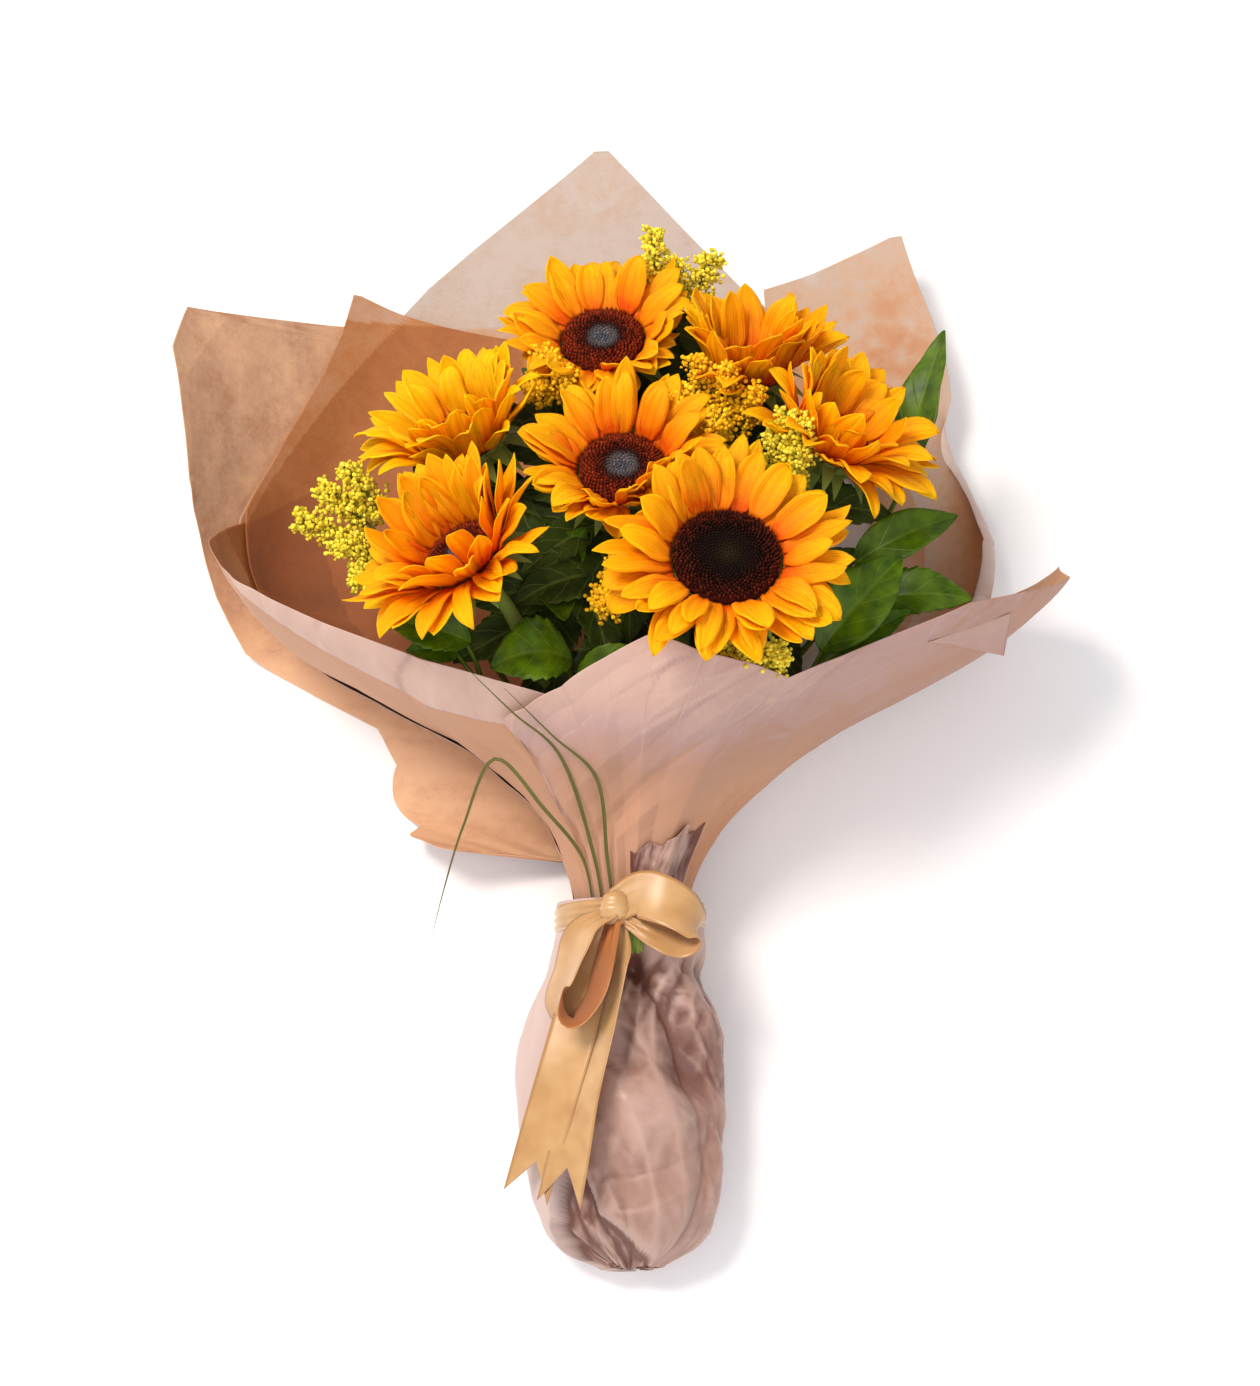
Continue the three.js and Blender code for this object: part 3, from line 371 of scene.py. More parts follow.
def above_table(height, lowest):
    """height, but never under lowest, with a parabola of BEND mm each way where it meets that."""
    curved = lowest + (height - lowest + BEND) ** 2 / (4 * BEND)
    return np.where(height < lowest - BEND, lowest, np.where(height > lowest + BEND, height, curved))


def paper_creases(sheet, angle, distance):
    """The sheet's own creases, with facets of 60 and 22 mm, and those that all sheets share, with
    facets of 70 mm that are 7 mm high."""
    around = angle * (0.5 + np.minimum(distance, 180) * 0.014)
    layer = sheet["layer"]
    broad = facets(distance / 62, around / 55, 3 + layer) * 1.9
    fine = facets(distance / 23, around / 21, 9 + layer) * 0.7
    own = (broad + fine - 1.3) * sheet.get("crumpled", 1) * ease(distance, 10, 50)
    return own, facets(distance / 75, around / 60, 1) * 7 * ease(distance, 40, 110)


def funnel(sheet, angle, distance):
    """TIE + AXIS d + X width cos a + FRONT depth sin a. Width and depth flare with the distance
    and grow with the layer; waves and gathers ripple all sheets alike, and each sheet has its own
    creases, which are less than half of the way to the next."""
    layer, proud = sheet["layer"], sheet.get("proud", 0)
    creases, shared = paper_creases(sheet, angle, distance)
    out = STEP_FREE * layer * (0.42 + 0.58 * np.clip(distance / 70, 0, 1)) + proud * ease(distance, 20, 100)
    loose = layer == LOOSE
    turn = np.radians(angle)
    wave = (2.4 * ease(distance, 60, 220) * np.sin(5 * turn + 0.012 * distance)
            + 1.4 * ease(distance, 40, 160) * np.sin(9 * turn - 0.03 * distance))
    gathers = 2.4 * (fold(angle / 17 + 0.5 * np.sin(turn * 3)) - 0.5) * ease(distance, 2, 30)
    out = out + wave + gathers * (1 - ease(distance, 60, 130)) + creases + shared
    width = out + flare(distance, *(LOOSE_WIDTH_FLARE if loose else WIDTH_FLARE), NECK_RADIUS, HALF_WIDTH)
    up = out + flare(distance, *FRONT_FLARE, NECK_RADIUS, FRONT_DEPTH)
    down = out + flare(distance, *(LOOSE_BACK_FLARE if loose else BACK_FLARE), NECK_RADIUS, BACK_DEPTH)
    depth = np.where(np.sin(turn) > 0, up, down)
    points = (TIE + distance[..., None] * AXIS + (width * np.cos(turn))[..., None] * X_AXIS
              + (depth * np.sin(turn))[..., None] * FRONT)
    sheets_below = np.maximum(0, LOOSE - layer - ease(angle, 268, 288))
    bump = 0.45 * (creases + 1.3) * (1 - ease(points[..., 2], 4, 30))
    points[..., 2] = above_table(points[..., 2], PAPER / 2 + STEP_ON_TABLE * sheets_below) + bump
    return points


# Rows are [distance, first angle, last angle], and columns are [angle, first distance, last
# distance]. depth and shade are the paper's colour values where nothing else lies over it; they
# also paint the light and shade that each sheet gets.
SHEETS = {
    "wrap_left_inner": {"layer": 0, "depth": 1.15, "shade": 0.4, "rows": [
        [-10, 190, 300], [120, 199, 300], [158, 202, 298], [226, 206, 296], [254, 212, 295], [282, 217, 291],
        [310, 222, 286], [334, 225.5, 254], [358, 227.5, 229]]},
    "wrap_left_front": {"layer": 1, "depth": 1.05, "shade": 0.7, "columns": [
        [100, -10, 96], [106, -10, 98], [123, -10, 110], [137, -10, 122], [149, -10, 142],
        [159, -10, 162], [176, -10, 186], [189, -10, 200], [209, -10, 222], [222, -10, 245]]},
    "wrap_right": {"layer": 1, "depth": 0.25, "shade": 0.2, "rows": [
        [-10, 306, 372], [150, 306, 346], [190, 306, 336], [234, 306, 327], [290, 292, 320],
        [326, 290, 318], [370, 289, 313], [394, 309, 311]]},
    "wrap_back": {"layer": 2, "depth": 0.05, "shade": 0.4, "rows": [
        [-10, 190, 318], [150, 200, 318], [222, 207, 316], [298, 224, 306], [350, 237, 292],
        [370, 241.5, 286], [458, 265, 267]]},
    "wrap_left_outer": {"layer": LOOSE, "proud": 2, "depth": 0.36, "shade": 0.5, "rows": [
        [-8, 246, 266], [34, 246, 264], [38, 201, 263], [54, 231, 262], [80, 238, 261],
        [98, 236, 260], [124, 224, 260], [150, 211, 259], [178, 206, 258], [226, 198, 257],
        [278, 193, 256], [306, 191, 255], [332, 196, 255], [336, 208, 255], [340, 219, 255],
        [344, 231, 255]]},
    "wrap_front": {"layer": 2, "proud": 5, "depth": 0.6, "shade": 0.85, "crumpled": 4.0, "columns": [
        [-30, -10, 176], [-13, -10, 188], [-4, -10, 178], [32, -10, 150], [46, -10, 122],
        [54, -10, 110], [62, -10, 113], [76, -10, 118], [86, -10, 127], [95, -10, 116],
        [106, -10, 104], [120, -10, 96], [131, -10, 92], [134, -10, 40]]},
}
print("sheets:", ", ".join(SHEETS))

# %% [markdown]
# ## The six sheets
# A sheet is a grid inside its outline. Its outline is given as rows, from one angle to another at
# a distance, or as columns, from one distance to another at an angle, so each grid line runs from
# edge to edge and the edges come out crisp. The same outlines tell which sheets lie behind.

# %% Sheets with their depth of paper
KRAFT_THICKNESS = 0.3
# Painted shade for each sheet that lies outside a point of the paper.
DEPTH_PER_SHEET = 0.45
CURLED_COLUMNS, CURL_RADIUS = 34, 4.5  # the rolled edge of the right sheet


def covers(sheet, angle, distance):
    """1 where a sheet's outline holds the point, and 0 elsewhere."""
    outline = np.array(sheet.get("rows", sheet.get("columns")), float)
    found = np.zeros(np.shape(angle))
    for shifted in (angle - 360, angle, angle + 360):
        along, across = (distance, shifted) if "rows" in sheet else (shifted, distance)
        first, last = (np.interp(along, outline[:, 0], outline[:, k]) for k in (1, 2))
        within = (along >= outline[0, 0]) & (along <= outline[-1, 0])
        found = np.maximum(found, within & (across >= first) & (across <= last))
    return found


def curled(points, start, radius, share):
    """Rolls the columns after start inwards: a point s mm past the start goes R sin(s / R) on and
    R (1 - cos(s / R)) towards the flowers. share, by row, is how much of the way it goes."""
    base, beyond = points[:, start:start + 1], points[:, start:]
    reach = np.linalg.norm(beyond - base, axis=-1, keepdims=True)
    onwards = unit(base - points[:, start - 4:start - 3])
    along = unit(np.gradient(points, axis=0)[:, start:start + 1])
    inwards = unit(np.cross(along, onwards))
    middle = TIE + ((base - TIE) @ AXIS)[..., None] * AXIS
    inwards = inwards * np.sign(np.sum(inwards * (middle - base), -1, keepdims=True))
    rolled = (base + radius * np.sin(reach / radius) * onwards
              + radius * (1 - np.cos(reach / radius)) * inwards)
    result = points.copy()
    result[:, start:] = beyond + share[:, None, None] * (rolled - beyond)
    return result


# On the left front sheet a sharp line parts the pale rim, which is folded back, from the brown part
# under it, painted the brown of the paper's inner side in shade: the distance of that line by angle.
RIM_FOLD = np.array([[100, 82], [120, 86], [142, 94], [158, 104], [161, 122], [163, 145], [166, 170],
                     [180, 200]])


def paper_sheet(name, sheet, rows=210, columns=200):
    """A grid over the outline. depth grows by DEPTH_PER_SHEET for each sheet outside it, near the
    neck, and along valley folds, and shade by the last two: painted shade, and painted light on
    ridges. Then come the marks of single sheets, some of them painted light and shade as well."""
    outline = np.array(sheet.get("rows", sheet.get("columns")), float)
    along = np.unique(np.concatenate([np.linspace(outline[0, 0], outline[-1, 0], rows), outline[:, 0]]))
    first, last = (np.interp(along, outline[:, 0], outline[:, k])[:, None] for k in (1, 2))
    across = first + (last - first) * np.linspace(0, 1, columns)
    along = np.broadcast_to(along[:, None], across.shape)
    angle, distance = (across, along) if "rows" in sheet else (along, across)
    reach = sheet["layer"] + sheet.get("proud", 0)
    outside = sum(covers(other, angle, distance) for other in SHEETS.values()
                  if other["layer"] + other.get("proud", 0) > reach)
    neck = 1 - ease(distance, 30, 110)
    depth = sheet["depth"] + DEPTH_PER_SHEET * outside + 0.4 * neck
    lines = 5 * crease_lines(sum(paper_creases(sheet, angle, distance)))
    if name == "wrap_left_outer":
        # Nothing lies over it, and the tie paints no shade on it. The flap at its lower end is paler:
        # painted light against the shadow that the left front sheet casts on it.
        depth = sheet["depth"] - 0.3 * ease(-distance, -200, -130)
    depth = depth + 0.2 * np.clip(lines, -1, 1)
    shade = sheet["shade"] + 0.9 * neck + 0.5 * np.clip(lines, -1, 1)
    points = funnel(sheet, angle, distance)
    if name == "wrap_front":
        # Painted shade: it is browner where it goes in under the ribbon, and towards its right-hand edge,
        # which faces away from the window.
        shade = shade - 0.7 * neck + 0.85 * (1 - ease(distance, 40, 110)) + 0.6 * ease(-angle, -75, -5)
    if name == "wrap_left_inner":
        # It is paler towards its far edge.
        depth = depth - 0.6 * ease(distance, 180, 250)
    if name == "wrap_left_front":
        line = np.interp(angle, RIM_FOLD[:, 0], RIM_FOLD[:, 1])
        # Under the fold line, painted shade: the outer side takes the brown of the shaded inner side.
        shade = np.where(distance > line, shade, 2.0)
    if name == "wrap_right":
        # It is darker beside the flowers, with painted shade, stained near its far edge, and rolled in below
        # that.
        depth = depth + 1.3 * ease(angle, 314, 334) * (1 - ease(distance, 224, 282))
        near_rim = np.exp(-((distance - 325) / 34) ** 2 - ((angle - 307) / 9) ** 2)
        stains = facets(distance / 9, angle / 3, 5) * near_rim
        depth = depth + 0.7 * stains
        points = curled(points, columns - CURLED_COLUMNS, CURL_RADIUS, 1 - ease(along[:, 0], 258, 300))
    return points, grid_faces(*angle.shape), {"depth": depth, "shade": shade}


def corner_flap(sheet):
    """The front sheet's ragged corner: a triangle that hangs 21 mm down from its right-hand edge,
    A + u ((1 - v) (B - A) + v (C - A)), with two soft creases."""
    v, u = np.meshgrid(np.linspace(0, 1, 40), np.linspace(0, 1, 40))
    a, b = funnel(sheet, np.array([31.0, 17.0]), np.array([132.0, 151.0]))
    c = b + np.array([-4, -20, -9])
    points = a + u[..., None] * ((1 - v)[..., None] * (b - a) + v[..., None] * (c - a))
    points[..., 1] += 1.5 * facets(3 * u, 3 * v, 5) * v - 1
    return points, grid_faces(40, 40), {"depth": 1.0, "shade": 0.9 + 0.5 * u * v}


for name, sheet in SHEETS.items():
    sides = [KRAFT_INSIDE, KRAFT_OUTSIDE] if "rows" in sheet else [KRAFT_OUTSIDE, KRAFT_INSIDE]
    part = paper_sheet(name, sheet)
    if name == "wrap_left_outer":
        sides = [KRAFT_SUNLIT, KRAFT_OUTSIDE]
    if name == "wrap_front":
        part = join_parts(part, corner_flap(sheet))
    make_piece(name + "_sheet", part, sides, [name], KRAFT_THICKNESS)

# %% [markdown]
# ## Sunflower heads
# Each head has its own axes: the way it faces, and two directions across it. The ray petals stand
# in layers and bend away from the neighbouring heads, which share the space between them.

# %% Heads and their axes
STEM_STEP = 10.6
ROW = STEM_STEP * math.sin(math.pi / 3)
LEMON_HEAD, OLDEST_HEAD = 4, 2
# at is the middle of the disc, lean is how many degrees the head leans to the right and away from
# the stems, cup is how many degrees its lowest petals rise, disc and petal are their radius and
# length, count is how many petals its lowest ring has in the solid, and slot is the stem's place
# in the neck, to the right and to the front.
SUNFLOWERS = [
    {"at": [-13.8, 276.6, 145], "lean": [-3, 14], "cup": 10, "disc": 21.5, "petal": 34,
     "count": 11, "slot": [-STEM_STEP / 2, -ROW]},
    {"at": [-3.9, 191.1, 165], "lean": [0, 12], "cup": 10, "disc": 21.5, "petal": 36,
     "count": 11, "slot": [0, 0]},
    {"at": [46.1, 132, 185], "lean": [2, 8], "cup": 6, "disc": 26.5, "petal": 36,
     "count": 12, "slot": [STEM_STEP / 2, ROW]},
    {"at": [-81.1, 144.1, 165], "lean": [-30, 22], "cup": 16, "disc": 20, "petal": 40,
     "count": 11, "slot": [-STEM_STEP / 2, ROW]},
    {"at": [-82.2, 222.8, 142], "lean": [-18, 30], "cup": 18, "disc": 20, "petal": 38,
     "count": 11, "slot": [-STEM_STEP, 0]},
    {"at": [59, 262.6, 142], "lean": [2, 36], "cup": 18, "disc": 19.5, "petal": 37,
     "count": 11, "slot": [STEM_STEP / 2, -ROW]},
    {"at": [101.1, 215.1, 152], "lean": [24, 28], "cup": 16, "disc": 19.5, "petal": 37,
     "count": 11, "slot": [STEM_STEP, 0]},
]


def head_axes(flower):
    """Middle, facing, side and up: facing leans to the right and away from the stems."""
    right, back = np.radians(flower["lean"])
    facing = np.array([np.sin(right), np.cos(right) * np.sin(back), np.cos(right) * np.cos(back)])
    side = unit(X_AXIS - facing[0] * facing)
    return np.array(flower["at"], float), facing, side, np.cross(facing, side)


AXES = [head_axes(flower) for flower in SUNFLOWERS]
MIDDLES = np.array([axes[0] for axes in AXES])
DISCS = np.array([flower["disc"] for flower in SUNFLOWERS])


def room(points, head):
    """How far the nearest of points is from the border with each other head, the smallest of all.
    The border is square to the line between two heads and divides it as their discs do."""
    others = np.arange(len(SUNFLOWERS)) != head
    between = MIDDLES[head] - MIDDLES[others]
    share = DISCS[head] / (DISCS[head] + DISCS[others])
    border = MIDDLES[head] - share[:, None] * between
    return np.min(np.einsum("nok,ok->no", points[:, None] - border, unit(between)))


print("heads:", len(SUNFLOWERS), "tallest middle:", MIDDLES[:, 2].max(), "mm")

# %% [markdown]
# ## Ray petals
# A sunflower's ray petal is a long tongue of 34 to 40 mm, narrow at its root and pointed at its
# tip, with two or three ribs along it. It is a little hollow across, droops towards its tip, and
# no two are alike: some twist, some curl. The middle line is found by adding up small steps whose
# slope shrinks from the lift at the root, and the blade is laid across it.

# %% Petal shapes
PETAL_OUTLINE = np.array([[0, 0.42], [0.1, 0.66], [0.22, 0.9], [0.4, 1.0], [0.62, 0.97], [0.78, 0.8],
                          [0.89, 0.53], [0.96, 0.25], [1, 0.03]])
PETAL_ROWS, PETAL_COLUMNS = 16, 9
PETAL_THICKNESS = 0.35
STEEPEST, LIFT_STEP = math.radians(86), math.radians(4)


def petal_blade(head, angle, root, lift, petal):
    """Grid of one petal. The slope is lift - droop t^1.5 - curl t^5, the half-width follows
    PETAL_OUTLINE, the blade is swept sideways by sweep t^2, and the height across is hollow s^2
    plus three ribs of 0.75 cos(3 pi s) and a wavy edge, which fade at both ends."""
    middle, facing, side_axis, up_axis = AXES[head]
    out = turned(angle, side_axis, up_axis)
    across = np.cross(facing, out)
    t = np.linspace(0, 1, PETAL_ROWS)
    s = np.linspace(-1, 1, PETAL_COLUMNS)
    between = (t[1:] + t[:-1]) / 2
    slope = lift - petal["droop"] * between ** 1.5 - petal["curl"] * between ** 5
    steps = petal["length"] * np.diff(t)[:, None] * turned(slope, out, facing)
    reach, height = root
    line = middle + reach * out + height * facing + np.vstack([np.zeros(3), np.cumsum(steps, axis=0)])
    line = line + (petal["sweep"] * petal["length"] * t ** 2)[:, None] * across
    slope_here = lift - petal["droop"] * t ** 1.5 - petal["curl"] * t ** 5
    normal = turned(slope_here, facing, -out)
    twist = petal["twist"] * t
    side = turned(twist, across, normal)
    above = turned(twist, normal, -across)
    half = petal["width"] / 2 * np.interp(t, PETAL_OUTLINE[:, 0], PETAL_OUTLINE[:, 1])
    body = np.sin(np.pi * t) ** 0.5
    relief = (petal["hollow"] * half[:, None] * (s ** 2 - 0.4)
              + body[:, None] * (0.75 * np.cos(3 * np.pi * s)
                                 + 0.8 * s * np.sin(10 * t[:, None] + 40 * petal["twist"])))
    return (line[:, None] + half[:, None, None] * s[None, :, None] * side[:, None]
            + relief[..., None] * above[:, None])


def roomy_lift(head, angle, start, petal, root, spare):
    """The smallest lift from start, in small steps, that leaves the other heads their room."""
    for lift in np.arange(start, STEEPEST, LIFT_STEP):
        blade = petal_blade(head, angle, root, lift, petal)
        if room(blade[:, ::4].reshape(-1, 3), head) > spare:
            return lift
    return STEEPEST


# Each layer of petals: how many for each one of the solid's lowest ring, its shift by part of a
# petal, the height of its root, its share of the length, and how many degrees steeper it stands,
# first in any head and then also in one that has not opened fully.
LAYERS = [(1.4, 0.0, -3.0, 1.0, 0, 0), (1.4, 0.5, -2.2, 1.0, 5, 0),
          (1.2, 0.25, -1.0, 0.95, 13, 14), (0.9, 0.7, 0.0, 0.82, 24, 26)]
HALF_OPEN = [0.1, 0.15, 0.0, 1.0, 0.6, 1.0, 1.0]
# In an open head, a petal that a neighbour pushes up by more than this, in radians, stays short.
PUSHED, SHORT = 0.45, 0.6


def one_petal(thing, flower, longer):
    """The dimensions of one petal, each from its own luck."""
    return {
        "length": flower["petal"] * (0.88 + 0.26 * chance(thing, 2)) * longer,
        "width": 12 + 5 * chance(thing, 3),
        "droop": math.radians(6 + 42 * chance(thing, 4)),
        "twist": math.radians(54 * (chance(thing, 5) - 0.5)),
        "curl": math.radians(110 * (chance(thing, 7) - 0.45)),
        "sweep": 0.34 * (chance(thing, 6) - 0.5),
        "hollow": 0.55 * (chance(thing, 8) - 0.1)}


def head_petals(head):
    """All petals of a head as one part, layer by layer; the first layer finds its own room, and the
    others stand steeper than the ones beside them."""
    flower = SUNFLOWERS[head]
    blades, tints = [], []
    lifts_below = np.array([math.radians(flower["cup"])])
    for layer, (more, offset, height, longer, steeper, closing) in enumerate(LAYERS):
        count = round(more * flower["count"])
        extra = math.radians(steeper + closing * HALF_OPEN[head])
        lifts = []
        for i in range(count):
            thing = head * 40 + i + 300 * layer
            angle = 2 * math.pi * (i + offset + 0.5 * (chance(thing, 1) - 0.5)) / count
            petal = one_petal(thing, flower, longer)
            root = (flower["disc"] + 0.4, height)
            place = i / count * len(lifts_below)
            beside = lifts_below[[int(place) % len(lifts_below), (int(place) + 1) % len(lifts_below)]]
            start = min(math.radians(84), beside.mean() + extra + math.radians(9) * chance(thing, 10))
            lift = roomy_lift(head, angle, start, petal, root, 0.9 - 1.3 * layer)
            if HALF_OPEN[head] < 0.5 and lift - start > PUSHED:
                petal["length"] *= SHORT
                lift = roomy_lift(head, angle, start, petal, root, 0.9 - 1.3 * layer)
            lifts.append(lift)
            blades.append(petal_blade(head, angle, root, lift, petal))
            tints.append(chance(thing, 9))
        if layer == 0:
            lifts_below = np.array(lifts)
    blades = np.array(blades)
    shape = blades.shape[:-1]
    values = {
        "along": np.broadcast_to(np.linspace(0, 1, PETAL_ROWS)[None, :, None], shape),
        "across": np.broadcast_to(np.linspace(-1, 1, PETAL_COLUMNS), shape),
        "tint": np.broadcast_to(np.array(tints)[:, None, None], shape)}
    return blades, grid_faces(PETAL_ROWS, PETAL_COLUMNS, patches=len(blades)), values


# %% [markdown]
# ## Petal skin
# Living petals are waxy and full of orange pigment, thickest along the ribs and at the root, so
# they are deep orange at the base and lighten to golden yellow at the tips. The deep orange at the
# root also paints the shade where the petals overlap round the disc. Light that goes in and comes
# out again a little further on makes them soft. Fine parallel veins break the gloss.

# %% Waxy petal material
# Three ribs and twelve veins lie across a petal of 12 to 17 mm. Real veins are about 0.7 mm apart,
# and these are drawn coarser, so that they show.
RIBS, VEINS = 3, 12


def petal_skin(name, stops):
    """along picks the colour, tint shifts it, and veins across darken and bump it."""
    material = new_material(name)
    along, across, tint = (add(material, "Attribute", attribute_name=value).outputs["Fac"]
                           for value in ("along", "across", "tint"))
    here = add(material, "TexCoord").outputs["Object"]
    blotches = add(material, "TexNoise", {"Vector": here, "Scale": size(7), "Detail": 3.0})
    shift = add(material, "Math", {0: tint, 1: 0.34, 2: along}, operation="MULTIPLY_ADD")
    blur = add(material, "Math", {0: blotches.outputs["Fac"], 1: 0.3, 2: shift.outputs[0]},
               operation="MULTIPLY_ADD")
    place = add(material, "Math", {0: blur.outputs[0], 1: -0.32}, operation="ADD")
    colour = add(material, "ValToRGB", {"Fac": place.outputs[0]}, stops=stops)
    veins = add(material, "Math", {0: across, 1: math.pi * VEINS}, operation="MULTIPLY")
    wave = add(material, "Math", {0: veins.outputs[0]}, operation="SINE")
    ribs = add(material, "Math", {0: across, 1: math.pi * RIBS}, operation="MULTIPLY")
    rib_wave = add(material, "Math", {0: ribs.outputs[0]}, operation="COSINE")
    both = add(material, "Math", {0: rib_wave.outputs[0], 1: 0.7, 2: wave.outputs[0]},
               operation="MULTIPLY_ADD")
    shade = add(material, "Math", {0: both.outputs[0], 1: 0.13, 2: 0.12}, operation="MULTIPLY_ADD")
    clear = add(material, "Clamp", {"Value": shade.outputs[0]})
    skin = add(material, "MixRGB", {
        "Fac": clear.outputs[0], "Color1": colour.outputs["Color"], "Color2": linear("#C44E02")})
    bump = add(material, "Bump", {"Height": both.outputs[0], "Strength": 0.4, "Distance": 0.12 * MM})
    shader = add(material, "BsdfPrincipled", {
        "Base Color": skin.outputs["Color"], "Roughness": 0.6, "IOR": 1.35, "Specular IOR Level": 0.2,
        "Subsurface Weight": 0.45, "Subsurface Radius": (1.0, 0.4, 0.05), "Subsurface Scale": 2 * MM,
        "Normal": bump.outputs["Normal"]})
    add(material, "OutputMaterial", {"Surface": shader.outputs["BSDF"]})
    return material


# The deep orange at the root of these ramps is partly painted shade of the overlapping petals.
GOLDEN = petal_skin("waxy_golden_petal", [
    (0.0, "#E25200"), (1.0, "#FFB400"), (0.2, "#F67E00"), (0.45, "#F79500")])
LEMON = petal_skin("waxy_lemon_petal", [
    (0.0, "#F47600"), (1.0, "#FFC000"), (0.2, "#FFA000"), (0.45, "#FFB000")])
for head in range(len(SUNFLOWERS)):
    skin, slot = (LEMON, "lemon_petal") if head == LEMON_HEAD else (GOLDEN, "golden_petal")
    node = f"sunflower_{head + 1}_petals"
    make_piece(node + "_waxy", head_petals(head), [skin], [node], PETAL_THICKNESS)

# %% [markdown]
# ## Floret discs
# A sunflower's disc is hundreds of tiny tubular florets in spirals, each turned from the last by
# the golden angle of 137.5 degrees. The outer ones have opened and stand up, reddish brown, and
# the middle ones are still tight buds. Each floret here is a small six-sided bud of 18 faces.

# %% Florets by the golden angle
GOLDEN_ANGLE = math.pi * (3 - math.sqrt(5))
BUD_SIDES = 6
BUD_POINTS = 2 * BUD_SIDES + 1
DISC_DEPTH = 4


def rise(r):
    """Height of the disc's face: a ring that stands 3.2 mm high round a dimple."""
    return 3.2 * np.sin(np.pi * np.minimum(1, 0.28 + 0.72 * r) ** 1.6) + 0.6


def buds(middles, facing, widths, heights):
    """Six-sided buds: a ring at the foot, a wider ring at two thirds, and a tip."""
    up = unit(facing)
    side = unit(np.cross(up, np.array([0.3, 1.0, 0.2])))
    ring = turned(whole_turn(BUD_SIDES), side[:, None], np.cross(up, side)[:, None])
    foot = middles[:, None] + 0.75 * widths[:, None, None] * ring
    belly = middles[:, None] + widths[:, None, None] * ring + (0.66 * heights[:, None] * up)[:, None]
    tip = (middles + heights[:, None] * up)[:, None]
    points = np.concatenate([foot, belly, tip], axis=1)
    low = np.arange(BUD_SIDES)
    low_next = (low + 1) % BUD_SIDES
    high, high_next = low + BUD_SIDES, low_next + BUD_SIDES
    faces = np.concatenate([np.stack(corners, -1) for corners in (
        (low, low_next, high_next), (low, high_next, high),
        (high, high_next, np.full(BUD_SIDES, 2 * BUD_SIDES)))])
    return points, (faces + BUD_POINTS * np.arange(len(middles))[:, None, None]).reshape(-1, 3)


def lathe(head, profile, sides):
    """middle + radius (cos a side + sin a up) + height facing, for a profile of (radius, height)."""
    middle, facing, side, up = AXES[head]
    ring = turned(whole_turn(sides), side, up)
    points = middle + profile[:, None, :1] * ring + profile[:, None, 1:] * facing
    return points, grid_faces(len(profile), sides, closed=True)


def floret_disc(head):
    """A turned dome with florets at radius R sqrt(k / n) and k golden angles round."""
    middle, facing, side, up = AXES[head]
    radius = SUNFLOWERS[head]["disc"] * 0.97
    r = np.linspace(1, 0, 12)
    face = np.stack([radius * r, rise(r) - 0.8], -1)
    profile = np.vstack([[0, -DISC_DEPTH], [radius, -DISC_DEPTH], face])
    dome, quads = lathe(head, profile, 36)
    count = int(1.15 * radius ** 2)
    k = np.arange(count)
    r = np.sqrt((k + 0.5) / count)
    out = turned(k * GOLDEN_ANGLE, side, up)
    at = middle + (r * radius)[:, None] * out + (rise(r) - 0.9)[:, None] * facing
    open_ring = ease(r, 0.45, 0.7)
    widths = (0.62 + 0.14 * open_ring) * (0.85 + 0.3 * chance(k, 21))
    heights = 1.3 + open_ring * (1.3 + 0.9 * chance(k, 22))
    leaning = facing + 0.5 * (chance(k, 23) - 0.4)[:, None] * out * open_ring[:, None]
    points, faces = buds(at, leaning, widths, heights)
    values = {"ring": np.repeat(r[:, None], BUD_POINTS, axis=1),
              "luck": np.repeat(chance(k, 24)[:, None], BUD_POINTS, axis=1)}
    plain = {"ring": np.broadcast_to(profile[:, :1] / radius, dome.shape[:-1]), "luck": 0.2}
    return join_parts((dome, split(quads), plain), (points, faces, values))


# %% [markdown]
# ## Floret colours
# The open florets are velvety, dark maroon brown with rusty tips. The buds in the middle have a
# blue-grey bloom, except on the oldest head in front, whose middle is almost black.

# %% Velvety floret material
def florets(name, stops):
    """ring picks the colour and each floret's own luck shifts it."""
    material = new_material(name)
    ring = add(material, "Attribute", attribute_name="ring").outputs["Fac"]
    luck = add(material, "Attribute", attribute_name="luck").outputs["Fac"]
    shift = add(material, "Math", {0: luck, 1: 0.16, 2: ring}, operation="MULTIPLY_ADD")
    place = add(material, "Math", {0: shift.outputs[0], 1: -0.08}, operation="ADD")
    colour = add(material, "ValToRGB", {"Fac": place.outputs[0]}, stops=stops)
    bright = add(material, "Math", {0: luck, 1: 0.9, 2: 0.55}, operation="MULTIPLY_ADD")
    final = add(material, "MixRGB", {"Fac": 1.0, "Color1": colour.outputs["Color"],
                                     "Color2": bright.outputs[0]}, blend_type="MULTIPLY")
    shader = add(material, "BsdfPrincipled", {
        "Base Color": final.outputs["Color"], "Roughness": 0.8, "IOR": 1.4, "Specular IOR Level": 0.15})
    add(material, "OutputMaterial", {"Surface": shader.outputs["BSDF"]})
    return material


YOUNG = florets("velvety_young_florets", [
    (0.0, "#50535C"), (1.0, "#66220E"), (0.26, "#625C5E"), (0.4, "#2C110D"), (0.58, "#561A0C"),
    (0.84, "#7A2A10")])
OLD = florets("velvety_old_florets", [
    (0.0, "#2E2410"), (1.0, "#4A1608"), (0.22, "#1F1007"), (0.36, "#150804"), (0.6, "#200A05"),
    (0.86, "#3C1206")])
for head in range(len(SUNFLOWERS)):
    node = f"sunflower_{head + 1}_disc"
    look = OLD if head == OLDEST_HEAD else YOUNG
    make_piece(node + "_florets", floret_disc(head), [look], [node])

